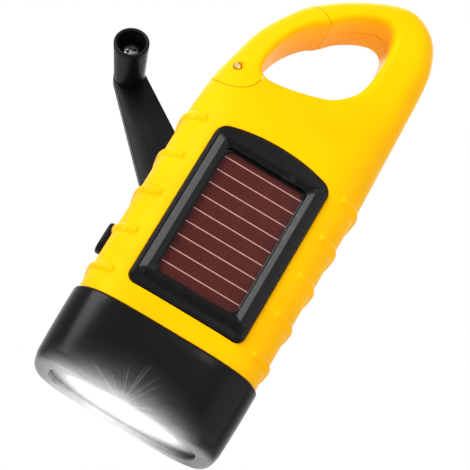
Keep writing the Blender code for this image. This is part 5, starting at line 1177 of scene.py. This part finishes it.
def sided_ring(half_width, bottom, top, corner, y, rise=0.0, top_corner=None):
    """Ring whose points keep their places on the sides, corners and top from ring to ring."""
    top_corner = top_corner or corner
    turn = arch_turn(half_width, top_corner, rise)
    side_end = top - top_corner * sin(turn)

    def bend(z, radius, start, turned_by):
        angles = [start + turned_by * (step + 0.5) / FRAME_CORNER_STEPS for step in range(FRAME_CORNER_STEPS)]
        return [(half_width - radius + radius * cos(a), z + radius * sin(a)) for a in angles]

    shares = [step / FRAME_SIDE_STEPS for step in range(FRAME_SIDE_STEPS + 1)]
    edge = half_width - corner
    right = bend(bottom + corner, corner, -pi / 2, pi / 2)
    right += [(half_width, bottom + corner + share * (side_end - bottom - corner)) for share in shares]
    right += bend(side_end, top_corner, 0.0, turn)
    line = [(-edge + share * 2 * edge, bottom) for share in shares] + right
    line += arch(half_width, top_corner, turn, top, rise, FRAME_SIDE_STEPS)
    return [(x, y, z) for x, z in line + [(-x, z) for x, z in reversed(right)]]


def make_bezel():
    bottom, cell_top = HEAD_LENGTH + BEZEL_BOTTOM, CELL_BOTTOM_Z + CELL_HEIGHT
    case_y = -CASE_HALF_THICKNESS
    seat, low = case_y + BEZEL_SEAT_DEPTH - REST_GAP, CELL_FACE_Y - REST_GAP - FRAME_LIP
    room = CELL_BORDER + REST_GAP
    outer = [
        (0.0, seat), (0.0, case_y + 0.1 * MM),
        *((FRAME_EDGE * (1 - c), case_y - FRAME_EDGE_PROUD * s) for s, c in quarter(5)),
        *((inset * MM, case_y - proud * MM) for inset, proud in FRAME_OUTER_ROWS),
    ]
    inner = [
        (away * MM, above * MM, corner * MM, case_y - proud * MM)
        for away, above, corner, proud in FRAME_INNER_ROWS
    ]
    inner.append((*FRAME_WALL_FOOT, low))
    inner += [
        (FRAME_LIP * (1 - s), FRAME_LIP * (1 - s), CELL_CORNER, low + FRAME_LIP * (1 - c))
        for s, c in quarter(2)
    ]
    inner += [(room, room, CELL_CORNER, y) for y in (CELL_FACE_Y - REST_GAP, seat)]
    rings = [sided_ring(
        BEZEL_HALF_WIDTH - inset, bottom + inset, bottom + BEZEL_SIDE_HEIGHT - inset,
        BEZEL_CORNER - inset * 0.5, y, BEZEL_ARCH_RISE, BEZEL_TOP_CORNER - inset * 0.4,
    ) for inset, y in outer]
    rings += [
        sided_ring(CELL_HALF_WIDTH + away, CELL_BOTTOM_Z - away, cell_top + above, corner, y)
        for away, above, corner, y in inner
    ]
    settle(loft("cell_frame", rings, True, FRAME_SHARP_ANGLE), "case", "bezel", "solar_bezel")


def make_cell():
    edge = 0.12 * MM
    half, bottom = CELL_HALF_WIDTH + CELL_BORDER, CELL_BOTTOM_Z - CELL_BORDER
    top = bottom + CELL_HEIGHT + 2 * CELL_BORDER
    rings = [
        sided_ring(half - inset, bottom + inset, top - inset, CELL_CORNER, y)
        for inset, y in ((edge, CELL_FACE_Y), (0.0, CELL_FACE_Y + edge), (0.0, CELL_BACK_Y))
    ]
    settle(loft("cell_plate", rings), "case", "cell", "solar_cell")


# Power button

def make_button():
    outer = -CASE_HALF_WIDTH - BUTTON_PROUD
    rows = [(outer + BUTTON_CROWN * (1 - c), -BUTTON_CROWN * (1 - s)) for s, c in quarter(8)]
    rows += [
        (FLANGE_FACE_X, 0.0), (FLANGE_FACE_X, BUTTON_FLANGE_EXTRA),
        (FLANGE_FACE_X + BUTTON_FLANGE, BUTTON_FLANGE_EXTRA),
    ]
    rings = []
    for x, grown in rows:
        shape = rounded_box(
            BUTTON_HALF_WIDTH + grown, BUTTON_Z - BUTTON_HALF_LENGTH - grown,
            BUTTON_Z + BUTTON_HALF_LENGTH + grown, max(BUTTON_CORNER + grown, BUTTON_CORNER / 3), 10,
        )
        rings.append([(x, y, z) for y, z in shape])
    groove, reach, pitch = 0.35 * MM, BUTTON_HALF_WIDTH * 0.62, 2.0 * MM
    cap = cut(loft("button_cap", rings), *(
        drill(groove, -reach, reach, (outer - groove * 0.35, BUTTON_Z + step * pitch)) for step in (-1, 0, 1)
    ))
    settle(cap, "button", "black", "power_button")


def make_button_coil():
    """The button's return spring, between the button's flange and the switch."""
    wire, radius = SWITCH_SPRING_WIRE, SWITCH_SPRING_RADIUS
    low, high = FLANGE_FACE_X + BUTTON_FLANGE + REST_GAP + wire, SWITCH_X - REST_GAP - wire
    steps = COIL_STEPS * SWITCH_SPRING_TURNS
    path = []
    for step in range(steps + 1):
        angle = 2 * pi * step / COIL_STEPS
        path.append((
            low + (high - low) * step / steps, radius * cos(angle), BUTTON_Z + radius * sin(angle),
        ))
    coil = smooth_wire("button_coil", path, wire)
    settle(coil, "case", "steel", "button_spring")
    length = high - low + 2 * wire
    high + wire
    (length - BUTTON_TRAVEL) / length
    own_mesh(coil)


# Crank

def make_hub(turn):
    shoulder, stub_top = CRANK_GEAR_TOP_Y + REST_GAP / 2, CRANK_GEAR_UNDER_Y - REST_GAP / 2
    edge, groove = 0.5 * MM, 0.35 * MM
    profile = [(SPINDLE_RADIUS, shoulder), (SPINDLE_RADIUS, HUB_UNDER_Y), (HUB_RADIUS, HUB_UNDER_Y)]
    profile += [(HUB_RADIUS - edge * (1 - c), HUB_TOP_Y - edge + edge * s) for s, c in quarter(5)]
    for radius in (HUB_RADIUS * 0.86, HUB_RADIUS * 0.8):
        profile += [(radius + groove, HUB_TOP_Y), (radius, HUB_TOP_Y - groove), (radius - groove, HUB_TOP_Y)]
    middle = HUB_UNDER_Y + HUB_THICKNESS / 2
    square = arc((0.0, 0.0), DRIVE_SQUARE / sqrt(2), pi / 4, 2 * pi, 4)[:-1]
    # The block that the arm's fork straddles, round about the fold pin
    radius, foot = ARM_THICKNESS / 2, HUB_TOP_Y - HUB_THICKNESS / 2
    lug = [(foot, -radius), *arc((FOLD_PIN_Y, 0.0), radius, -pi / 2, pi, 10), (foot, radius)]
    hub = join(
        turned("hub_disc", profile, 96), prism("drive", square, stub_top, middle),
        drill(STUB_RADIUS, PLATE_TOP_Y - PLATE_THICKNESS, shoulder + 0.1 * MM, count=32),
        round_edges(prism("lug", lug, -LUG_HALF_WIDTH, LUG_HALF_WIDTH, "x"), 0.4 * MM),
    )
    reach = LUG_HALF_WIDTH + OVERRUN
    cut(hub, drill(FOLD_PIN_RADIUS + RUN_GAP, -reach, reach, (FOLD_PIN_Y, 0.0), 32, "x"))
    settle(hub, "crank", "black", "crank_hub", turn)


def make_arm(turn):
    """The arm lies along +Z of the fold pin's frame, with its fork round the pin."""
    half, tip, wide = ARM_THICKNESS / 2, ARM_TIP_THICKNESS / 2, ARM_HALF_WIDTH
    end, far = ARM_LENGTH + ARM_TIP_RADIUS, ARM_THICKNESS + OVERRUN
    steps = 16
    angles = [pi / 2 + pi * step / steps for step in range(steps + 1)]
    profile = [(half * sin(angle), half * cos(angle)) for angle in angles] + [(-tip, end), (tip, end)]
    plan = [
        (-wide, -half - OVERRUN), (wide, -half - OVERRUN), (wide, half),
        *arc((0.0, ARM_LENGTH), ARM_TIP_RADIUS, 0.0, pi, 32), (-wide, half),
    ]
    start, end = wide - PANEL_MARGIN, ARM_TIP_RADIUS - PANEL_MARGIN / 2
    panel = [(-start, PANEL_START), (start, PANEL_START), (end, PANEL_END), (-end, PANEL_END)]
    slot = LUG_HALF_WIDTH + REST_GAP
    arm = cross(prism("arm", profile, -wide - OVERRUN, wide + OVERRUN, "x"), prism("plan", plan, -far, far))
    cut(arm, box((-slot, -ARM_THICKNESS, -far), (slot, ARM_THICKNESS, half + 3 * REST_GAP)),
        prism("panel", panel, tip - PANEL_DEPTH, ARM_THICKNESS))
    round_edges(arm, 0.3 * MM, 35.0)
    cut(arm, drill(FOLD_PIN_RADIUS + RUN_GAP, -wide - OVERRUN, wide + OVERRUN, count=32, axis="x"),
        drill(KNOB_SCREW_RADIUS + REST_GAP / 3, -far, -tip + KNOB_SCREW_GRIP, (0.0, ARM_LENGTH), 32))
    settle(arm, "arm", "black", "crank_arm", turn)

    reach, radius, edge = wide - FOLD_PIN_SHORT, FOLD_PIN_RADIUS, 0.25 * MM
    pin_end = [(radius, reach - edge), (radius - edge, reach), (0, reach)]
    profile = [(away, -x) for away, x in reversed(pin_end)] + pin_end
    settle(turned("fold_hinge", profile, 40, axis="x"), "arm", "steel", "fold_pin", turn)


def make_knob(turn):
    """The knob points to -Y of the fold pin's frame, open at its end, with its screw inside."""
    base = -ARM_TIP_THICKNESS / 2 - REST_GAP
    end, floor = base - KNOB_LENGTH, base - KNOB_FLOOR
    centre = (0.0, ARM_LENGTH)
    hole, rim, inner = KNOB_SCREW_RADIUS + RUN_GAP, KNOB_WALL / 2, KNOB_BASE_RADIUS - KNOB_WALL
    edge = 0.3 * MM
    profile = [(KNOB_BASE_RADIUS - edge, base), (KNOB_BASE_RADIUS, base - edge)]
    for step in range(1, 8):
        share = step / 8
        radius = KNOB_BASE_RADIUS + (KNOB_RADIUS - KNOB_BASE_RADIUS) * share
        profile.append((radius, base + (end + rim - base) * share))
    profile += arc((KNOB_RADIUS - rim, end + rim), rim, 0.0, -pi, 12)
    profile += [(inner + 0.15 * MM, floor - 0.5 * MM), (inner - 0.4 * MM, floor), (hole, floor), (hole, base)]
    rings = [
        [(x, height, z) for x, z in arc(centre, radius, 0.0, 2 * pi, 72)[:-1]] for radius, height in profile
    ]
    settle(loft("knob", rings, True), "knob", "black", "crank_knob", turn)

    under, head = floor - REST_GAP, KNOB_SCREW_HEAD
    top = under - KNOB_SCREW_HEAD_HEIGHT
    screw = turned("screw_knob", (
        (0, top), (head * 0.5, top), (head * 0.8, top + SCREW_CROWN * 0.2),
        (head * 0.95, top + SCREW_CROWN * 0.6), (head, top + SCREW_CROWN), (head, under),
        (KNOB_SCREW_RADIUS, under), (KNOB_SCREW_RADIUS, -ARM_TIP_THICKNESS / 2 + KNOB_SCREW_GRIP - REST_GAP),
    ), 36, centre)
    cut(screw, cross_recess(head, top, 0.9 * MM, centre, -1))
    settle(screw, "arm", "dull", "knob_screw", turn)


def make_crank():
    hub = Matrix.Translation((0.0, 0.0, HUB_Z)) @ Matrix.Rotation(-CRANK_SWING, 4, "Y")
    fold = hub @ Matrix.Translation((0.0, FOLD_PIN_Y, 0.0)) @ Matrix.Rotation(-CRANK_FOLD, 4, "X")
    make_hub(hub)
    make_arm(fold)
    make_knob(fold)


# Materials

def feed(socket, value):
    """Set a socket to a constant, or link it to what another node gives."""
    if isinstance(value, Value):
        value.tree.links.new(value.socket, socket)
    elif socket.type == "RGBA":
        socket.default_value = (*value[:3], 1.0)
    else:
        socket.default_value = value


def add(tree, kind, inputs=None, **settings):
    """A node with its settings, and with its inputs set to constants or linked."""
    node = tree.nodes.new("ShaderNode" + kind)
    for name, value in settings.items():
        setattr(node, name, value)
    for name, value in (inputs or {}).items():
        feed(node.inputs[name], value)
    return node


def calc(operation, *values, clamp=False):
    """A math node on constants and on what other nodes give."""
    first = next(value for value in values if isinstance(value, Value))
    return first.node("Math", dict(enumerate(values)), operation=operation, use_clamp=clamp)


class Value:
    """What a node gives. Arithmetic with it adds math nodes to its tree."""

    def __init__(self, tree, socket):
        self.tree, self.socket = tree, socket

    def node(self, kind, inputs, output=0, **settings):
        return Value(self.tree, add(self.tree, kind, inputs, **settings).outputs[output])

    def __add__(self, other):
        return calc("ADD", self, other)

    def __sub__(self, other):
        return calc("SUBTRACT", self, other)

    def __mul__(self, other):
        return calc("MULTIPLY", self, other)

    def __truediv__(self, other):
        return calc("DIVIDE", self, other)

    def __pow__(self, other):
        return calc("POWER", self, other)

    def __abs__(self):
        return calc("ABSOLUTE", self)

    def axes(self):
        return [Value(self.tree, part) for part in add(self.tree, "SeparateXYZ", {"Vector": self}).outputs]

    def span(self, low, high, start=0.0, end=1.0):
        """The value mapped from one range to another, and kept inside it."""
        return self.node("MapRange", {
            "Value": self, "From Min": low, "From Max": high, "To Min": start, "To Max": end,
        })

    def blend(self, first, second):
        """A colour between two others, with the value as its share of the second."""
        return self.node("Mix", {0: self, 6: first, 7: second}, 2, data_type="RGBA")

    def noise(self, size, detail=2.0, roughness=0.5, stretch=None):
        """Noise at the place that the value gives, with features about a size in metres across."""
        where = self.node("Mapping", {"Vector": self, "Scale": stretch}) if stretch else self
        return self.node("TexNoise", {
            "Vector": where, "Scale": 1 / size, "Detail": detail, "Roughness": roughness,
        })

    def stripes(self, scale, detail):
        """Noise that depends on the value alone."""
        return self.node("TexNoise", {"W": self, "Scale": scale, "Detail": detail}, noise_dimensions="1D")

    def bump(self, strength, distance, under=None):
        """The normal of a surface with the value as its height, over other bumps or none."""
        inputs = {"Height": self, "Strength": strength, "Distance": distance}
        if under:
            inputs["Normal"] = under
        return self.node("Bump", inputs)


class Look:
    """A node material, with constants and other nodes' values on its shader's own sockets."""

    def __init__(self, name, **inputs):
        self.material = bpy.data.materials.new(name)
        self.material.use_nodes = True
        tree = self.material.node_tree
        tree.nodes.clear()
        self.shader = add(tree, "BsdfPrincipled")
        tree.links.new(self.shader.outputs["BSDF"], add(tree, "OutputMaterial").inputs["Surface"])
        self.where = Value(tree, add(tree, "TexCoord").outputs["Object"])
        self.set(**inputs)

    def set(self, **inputs):
        for name, value in inputs.items():
            feed(self.shader.inputs[name.replace("_", " ")], value)
        return self


def distance(across, along):
    return calc("SQRT", across * across + along * along)


def moulded(name, base, worn, grain, depth, rough, **constants):
    """Moulded plastic: fine grain, slow change of shade and gloss, faint scratches, paler edges."""
    look = Look(name, **constants)
    where = look.where
    fine = where.noise(grain, 2.0, 0.6)
    pores = where.noise(grain * 4, 3.0, 0.55)
    marks = where.noise(1.6 * MM, 3.0, 0.6, (1.0, 0.5, 14.0)).span(0.66, 0.74)
    dark = [part * share for part, share in zip(base, (0.93, 0.91, 0.9))]
    light = [min(1.0, part * share) for part, share in zip(base, (1.03, 1.03, 1.05))]
    tone = where.noise(22 * MM).span(0.3, 0.7).blend(dark, light)
    tone = fine.span(0.62, 0.8, 0.0, 0.10).blend(tone, worn)
    edges = where.node("NewGeometry", {}, "Pointiness").span(0.53, 0.6)
    patches = where.noise(2.5 * MM, 3.0).span(0.4, 0.62)
    return look.set(
        Base_Color=(edges * patches * 0.35).blend(tone, worn),
        Roughness=marks * -0.05 + pores.span(0.25, 0.75, *rough),
        Normal=(marks * -0.5 + fine).bump(0.6, depth, pores.bump(0.35, 0.02 * MM)),
    )


def head_look():
    """The lamp's black cup, with the lamp's glow painted on its lower end and thin painted rays on its front.
    """
    look = moulded("head_black_plastic", BLACK, WORN_BLACK, 0.3 * MM, 0.003 * MM, (0.22, 0.27),
                   Specular_IOR_Level=0.085, Emission_Color=WHITE)
    x, y, z = look.where.axes()
    height = z + LENS_RECESS
    # The painted glow climbs higher towards the middle
    across = (x - GLOW_X) / (LENS_HALF_WIDTH + 1.5 * MM)
    bulge = calc("SUBTRACT", 1.0, across * across, clamp=True)
    glow = (height / (bulge * (GLOW_MIDDLE - GLOW_END) + GLOW_END)).span(1.0, 0.0)
    glow = glow ** 1.6 * GLOW_WIDE + glow ** 6.0 * GLOW_NEAR
    glow = glow * (bulge * 0.8 + 0.12)
    # Painted rays of light fan out from a point under the rim
    away_x, away_z = x - RAY_X, height + RAY_BELOW
    angle = calc("ARCTAN2", away_x, away_z)
    ends = angle.stripes(3.1, 0.0).span(0.3, 0.7, RAY_LENGTH * 0.55, RAY_LENGTH * 1.2)
    fade = (distance(away_x, away_z) / ends).span(1.0, 0.25)
    rays = angle.stripes(11.0, 1.0).span(0.50, 0.68) ** 1.4 * fade * RAY_STRENGTH
    front = y.span(-HEAD_HALF_THICKNESS * 0.35, -HEAD_HALF_THICKNESS * 0.8)
    # The rim itself, all round the lens, and the opening's wall have a painted glow, as if lit from inside
    peak = bulge ** 1.4
    rim = height.span(0.9 * MM, 0.0) * (peak * (RIM_MIDDLE - RIM_END) + RIM_END)
    wall_x = abs(x / (LENS_HALF_WIDTH + 0.6 * MM)) ** LENS_POWER
    wall_y = abs(y / (LENS_HALF_HEIGHT + 0.6 * MM)) ** LENS_POWER
    inside = calc("LESS_THAN", wall_x + wall_y, 1.0)
    wall = inside * height.span(2.4 * MM, 0.6 * MM) * (peak * (WALL_MIDDLE - WALL_END) + WALL_END)
    total = calc("MAXIMUM", (glow + rays) * front, calc("MAXIMUM", rim, wall))
    # Mottled streaks in the painted glow
    patches = look.where.noise(3 * MM, 3.0, 0.6, (0.3, 1.0, 1.0)).span(0.3, 0.65, 0.72, 1.1)
    return look.set(Emission_Strength=total * patches)


def painted_lamp_shine(where, low, high, middle):
    """How bright the lamp's painted glow is across the opening: most round each of its three lights. The lens
    and the reflector, which are no lamps, glow with it.
    """
    x, y, _ = where.axes()
    far = distance((x - GLOW_X * 0.7) / (LENS_HALF_WIDTH * 1.02), y / (LENS_HALF_HEIGHT * 1.1))
    spots = [distance(x - place, y).span(CUP_RADIUS, 0.0) for place in LED_PLACES]
    near = spots[0]
    for spot in spots[1:]:
        near = calc("MAXIMUM", near, spot)
    return near ** 1.5 * middle + far.span(1.0, 0.25, low, high)


def lens_look():
    look = Look("lens_clear", Specular_IOR_Level=0.5, IOR=1.49, Transmission_Weight=0.85,
                Emission_Color=WHITE)
    where = look.where
    streaks = where.noise(1.1 * MM, 2.0, 0.6, (0.12, 1.0, 1.0))
    # Toward its ends the pane's colour is painted darker, in streaks: painted shade where the cup's wall
    # shows behind it
    far = abs(where.axes()[0] / LENS_HALF_WIDTH)
    return look.set(
        Base_Color=(streaks * 0.5 + far).span(0.8, 1.15).blend(WHITE, (0.22, 0.22, 0.23)),
        Roughness=where.noise(1.2 * MM, 3.0).span(0.3, 0.7, 0.04, 0.12),
        Normal=where.noise(3.5 * MM, 1.0).bump(0.15, 0.02 * MM),
        # The pane glows with the lamp's painted light
        Emission_Strength=painted_lamp_shine(where, *LENS_PAINTED_SHINE) * streaks.span(0.35, 0.6, 0.45, 1.0),
    )


def mirror_look():
    look = Look("reflector_bright_metal", Metallic=1.0, Emission_Color=WHITE)
    where = look.where
    cloud = where.noise(4 * MM, 3.0)
    # Away from the beam's middle the cups' colour is painted dark: a painted reflection of the head's dark
    # inside
    streaks = where.noise(1.4 * MM, 2.0, 0.6, (0.3, 1.0, 1.0))
    far = streaks * 0.4 + abs(where.axes()[0] - GLOW_X) / LENS_HALF_WIDTH
    bright = cloud.blend((0.60, 0.61, 0.62), (0.76, 0.76, 0.77))
    return look.set(
        Base_Color=far.span(0.62, 1.0).blend(bright, (0.10, 0.10, 0.11)),
        Roughness=where.noise(0.3 * MM).span(0.3, 0.7, 0.05, 0.14),
        Normal=cloud.bump(0.12, 0.05 * MM),
        # The cups glow with the lamp's painted light
        Emission_Strength=painted_lamp_shine(where, *MIRROR_PAINTED_SHINE),
    )


def led_look():
    look = Look("led_dome", Specular_IOR_Level=0.5, Transmission_Weight=0.2,
                Emission_Color=(1.0, 0.99, 0.96))
    where = look.where
    x, _, z = where.axes()
    # The outer two are dimmer than the middle one
    left = x.span(-CUP_PITCH, -CUP_PITCH * 0.4, LED_LEFT_SHARE, 1.0)
    right = x.span(CUP_PITCH * 0.4, CUP_PITCH, 1.0, LED_RIGHT_SHARE)
    return look.set(
        Base_Color=where.noise(1.5 * MM).blend((0.9, 0.88, 0.75), (1.0, 0.99, 0.95)),
        Roughness=where.noise(0.6 * MM).span(0.3, 0.7, 0.08, 0.16),
        Emission_Strength=z.span(14 * MM, 4 * MM, 1.2, 2.2) * (left * right),
    )


def cell_look():
    """Amorphous solar cell: reddish brown with fine grain, and pale lines across it."""
    look = Look("solar_cell_film", Specular_IOR_Level=0.06, Coat_Weight=0.02, Coat_Roughness=0.1)
    where = look.where
    height = where.axes()[2] + LENS_RECESS
    grain = where.noise(0.28 * MM, 2.0, 0.6)
    film = where.noise(9 * MM, 3.0).span(0.3, 0.7).blend((0.056, 0.0102, 0.0080), (0.070, 0.0130, 0.0105))
    film = grain.span(0.45, 0.75, 0.0, 0.45).blend(film, (0.105, 0.025, 0.020))
    film = grain.span(0.5, 0.25, 0.0, 0.4).blend(film, (0.036, 0.008, 0.007))
    pitch = (height - CELL_LINE_FIRST) / CELL_LINE_PITCH
    off, half = abs(pitch - calc("ROUND", pitch)), CELL_LINE_HALF / CELL_LINE_PITCH
    above = calc("GREATER_THAN", height, CELL_LINE_FIRST - CELL_LINE_PITCH * 0.4)
    below = calc("LESS_THAN", height, CELL_LINE_FIRST + CELL_LINE_PITCH * (CELL_LINE_COUNT - 0.6))
    line = off.span(half * 1.6, half * 0.6) * (above * below)
    line = line * where.noise(0.8 * MM, 3.0).span(0.2, 0.55, 0.75, 1.0)
    return look.set(
        Base_Color=line.blend(film, (0.55, 0.31, 0.27)), Roughness=grain.span(0.3, 0.7, 0.22, 0.36),
        Normal=(line * 0.8 + grain).bump(0.3, 0.01 * MM),
    )


def metal(name, base, rough=(0.2, 0.34), stretch=(1.0, 14.0, 1.0), grain=0.6 * MM):
    """Bright metal with fine turning marks and small spots of tarnish."""
    look = Look(name, Metallic=1.0)
    marks = look.where.noise(grain, 3.0, 0.6, stretch)
    spots = look.where.noise(1.8 * MM, 4.0).span(0.6, 0.75)
    dull = [part * share for part, share in zip(base, (0.6, 0.56, 0.5))]
    tone = marks.span(0.3, 0.7).blend([0.88 * part for part in base], base)
    return look.set(
        Base_Color=(spots * 0.5).blend(tone, dull), Normal=marks.bump(0.3, 0.01 * MM),
        Roughness=spots * 0.15 + marks.span(0.3, 0.7, *rough),
    )


def board_look():
    """Green circuit board: mask over copper traces in a grid of runs, with tinned pads."""
    look = Look("circuit_board_green", Specular_IOR_Level=0.45)
    where = look.where
    flat = where.node("Mapping", {"Vector": where, "Scale": (1.0, 0.02, 1.0)})
    cells = where.node("TexVoronoi", {"Vector": flat, "Scale": 210.0, "Randomness": 0.35}, "Distance",
                       distance="CHEBYCHEV", feature="F1")
    trace, pad = cells.span(0.40, 0.46), cells.span(0.14, 0.11)
    grain = where.noise(0.2 * MM, 3.0)
    mask = trace.blend(grain.blend((0.006, 0.07, 0.02), (0.012, 0.105, 0.035)), (0.03, 0.19, 0.06))
    return look.set(
        Base_Color=pad.blend(mask, (0.72, 0.71, 0.66)), Metallic=pad * 0.9,
        Roughness=grain.span(0.3, 0.7, 0.28, 0.42), Normal=(trace + grain * 0.2).bump(0.4, 0.03 * MM),
    )


def winding_look():
    """Enamelled copper wire, laid in turns round the generator's axis."""
    look = Look("copper_wire_turns", Metallic=0.9, Coat_Weight=0.4, Coat_Roughness=0.15)
    turns = look.where.node(
        "TexWave", {"Vector": look.where, "Scale": 420.0, "Distortion": 1.2, "Detail": 2.0}, "Fac",
        wave_type="BANDS", bands_direction="Y",
    )
    return look.set(
        # The colour is painted darker in the grooves between turns and lighter on their crests: painted shade
        # and highlight
        Base_Color=turns.blend((0.30, 0.09, 0.03), (0.78, 0.33, 0.15)),
        Roughness=turns.span(0.0, 1.0, 0.42, 0.25), Normal=turns.bump(0.7, 0.08 * MM),
    )


# Plain mouldings: name, colour, colour where worn, size of the grain and depth of its bumps in
# millimetres, range of roughness, and the shader's constants
MOULDINGS = {
    "yellow": ("case_yellow_plastic", YELLOW, (1.0, 0.72, 0.06), 0.4, 0.006, (0.42, 0.52), {
        "Specular_IOR_Level": 0.08, "Specular_Tint": (1.0, 0.86, 0.3), "Subsurface_Weight": 0.12,
        "Subsurface_Radius": (1.0, 0.3, 0.02), "Subsurface_Scale": 1.6 * MM,
    }),
    "black": ("crank_black_plastic", BLACK, WORN_BLACK, 0.3, 0.014, (0.32, 0.42),
              {"Specular_IOR_Level": 0.1}),
    "bezel": ("frame_black_plastic", (0.0028, 0.0029, 0.0036), WORN_BLACK, 0.25, 0.004, (0.22, 0.3),
              {"Specular_IOR_Level": 0.11}),
    "rubber": ("dark_rubber_seal", (0.018, 0.018, 0.019), (0.05, 0.05, 0.05), 0.2, 0.03, (0.6, 0.75),
               {"Specular_IOR_Level": 0.3}),
    "nylon": ("white_nylon_gear", (0.82, 0.81, 0.76), (0.9, 0.9, 0.88), 0.25, 0.01, (0.3, 0.42),
              {"Subsurface_Weight": 0.15, "Subsurface_Scale": 0.5 * MM}),
    "magnet": ("ferrite_magnet", (0.035, 0.035, 0.038), (0.09, 0.09, 0.095), 0.15, 0.03, (0.45, 0.6),
               {"Specular_IOR_Level": 0.5}),
    "chip": ("chip_resin", (0.02, 0.02, 0.022), (0.07, 0.07, 0.07), 0.12, 0.02, (0.5, 0.62), {}),
    "sleeve": ("battery_sleeve", (0.03, 0.16, 0.09), (0.2, 0.4, 0.3), 0.5, 0.01, (0.22, 0.34),
               {"Coat_Weight": 0.3}),
    "cable": ("cable_sleeve_red", (0.42, 0.012, 0.012), (0.6, 0.08, 0.06), 0.3, 0.02, (0.35, 0.5), {}),
}

# Looks of the CAD nodes that stay
INNER_LOOKS = {
    "steel": ("hub_circlip", "axle_a", "axle_b", "gearbox_screw_1",
              "gearbox_screw_2", "gearbox_screw_3", "battery_tab_left", "battery_tab_right"),
    "plate": ("generator_can", "gearbox_plate"),
    "brass": ("hub_bush",),
    "copper": ("generator_coil",),
    "magnet": ("generator_rotor",),
    "nylon": ("crank_gear", "gear_a", "gear_b", "switch_plunger", "battery_cradle"),
    "board": ("main_board", "led_board"),
    "chip": ("charge_chip", "switch_body"),
    "sleeve": ("battery_cell_1", "battery_cell_2", "battery_cell_3", "capacitor"),
    "cable": ("led_cable", "solar_cable", "generator_cable"),
}


def make_looks():
    made = {
        key: moulded(name, base, worn, grain * MM, depth * MM, rough, **constants)
        for key, (name, base, worn, grain, depth, rough, constants) in MOULDINGS.items()
    }
    made.update({
        "head": head_look(), "lens": lens_look(), "mirror": mirror_look(), "led": led_look(),
        "cell": cell_look(), "board": board_look(), "copper": winding_look(),
        "steel": metal("bright_steel", (0.62, 0.62, 0.64)),
        "dull": metal("dull_steel", (0.2, 0.2, 0.21), (0.3, 0.42)),
        "plate": metal("zinc_plate", (0.56, 0.57, 0.58), (0.28, 0.42), (1.0, 1.0, 8.0), 1.2 * MM),
        "brass": metal("brass_bush", (0.74, 0.52, 0.2)),
    })
    return made


def dress_inside():
    for look, names in INNER_LOOKS.items():
        for name in names:
            node = bpy.data.objects[name]
            if not node.material_slots:
                node.data.materials.append(looks[look].material)
            for holder in node.material_slots:
                holder.material = looks[look].material


# Light, floor and camera

def studio_world():
    """White where the camera, a mirror or glass sees it, and softer as a light."""
    world = bpy.data.worlds.new("studio")
    bpy.context.scene.world = world
    world.use_nodes = True
    tree = world.node_tree
    tree.nodes.clear()
    seen = add(tree, "LightPath").outputs
    camera, glossy, clear = (
        Value(tree, seen[f"Is {kind} Ray"]) for kind in ("Camera", "Glossy", "Transmission")
    )
    soft, white = (
        Value(tree, add(tree, "Background", {"Color": WHITE, "Strength": level}).outputs[0])
        for level in (WORLD_LEVEL, 1.0)
    )
    share = calc("MAXIMUM", calc("MAXIMUM", camera, clear), glossy)
    add(tree, "OutputWorld", {"Surface": share.node("MixShader", {0: share, 1: soft, 2: white})})


def studio_floor():
    """Pale floor below the flashlight, with faint dust, where the object casts its shadow."""
    steps = FLOOR_STEPS
    line = [FLOOR_HALF * (2 * step / steps - 1) for step in range(steps + 1)]
    points = [(x, y, -FLOOR_BELOW) for y in line for x in line]
    corners = [row * (steps + 1) + column for row in range(steps) for column in range(steps)]
    faces = [(low, low + 1, low + steps + 2, low + steps + 1) for low in corners]
    mesh = bpy.data.meshes.new("floor")
    mesh.from_pydata(points, [], faces)
    floor = add_object("floor", mesh)
    look = Look("floor_pale", Specular_IOR_Level=0.2)
    dust = look.where.noise(30 * MM, 4.0)
    look.set(Base_Color=dust.blend((0.84, 0.84, 0.84), (0.88, 0.88, 0.88)),
             Roughness=dust.span(0.3, 0.7, 0.7, 0.85))
    mesh.materials.append(look.material)


def studio_lamp(name, place, aim, size, power):
    data = bpy.data.lights.new(name, "AREA")
    data.shape = "DISK"
    data.size = size
    data.energy = power
    made = add_object(name, data)
    made.location = place
    made.visible_camera = False
    made.rotation_euler = (aim - place).to_track_quat("-Z", "Y").to_euler()


def studio():
    bpy.context.scene.view_settings.view_transform = "Standard"
    target = Vector((CAMERA_AIM[0], 0.0, CAMERA_AIM[1] - LENS_RECESS))
    back = Vector((0.0, -cos(CAMERA_TILT), -sin(CAMERA_TILT)))
    level, rise = Vector((1.0, 0.0, 0.0)), Vector((0.0, -sin(CAMERA_TILT), cos(CAMERA_TILT)))
    right = level * cos(CAMERA_ROLL) + rise * sin(CAMERA_ROLL)
    up = rise * cos(CAMERA_ROLL) - level * sin(CAMERA_ROLL)
    data = bpy.data.cameras.new("camera")
    data.sensor_width = SENSOR
    data.lens = CAMERA_FOCAL
    data.clip_start = 0.01
    camera = add_object("camera", data)
    turn = Matrix((right, up, back)).transposed().to_4x4()
    camera.matrix_world = Matrix.Translation(target + back * CAMERA_DISTANCE) @ turn
    bpy.context.scene.camera = camera
    studio_world()
    studio_floor()
    for name, (across, above, toward), size, power in LAMPS:
        studio_lamp(name, target + right * across + up * above + back * toward, target, size, power)


looks = make_looks()
make_case()
make_head()
make_lens()
make_reflector()
make_bezel()
make_cell()
make_button()
make_button_coil()
make_crank()
dress_inside()
studio()
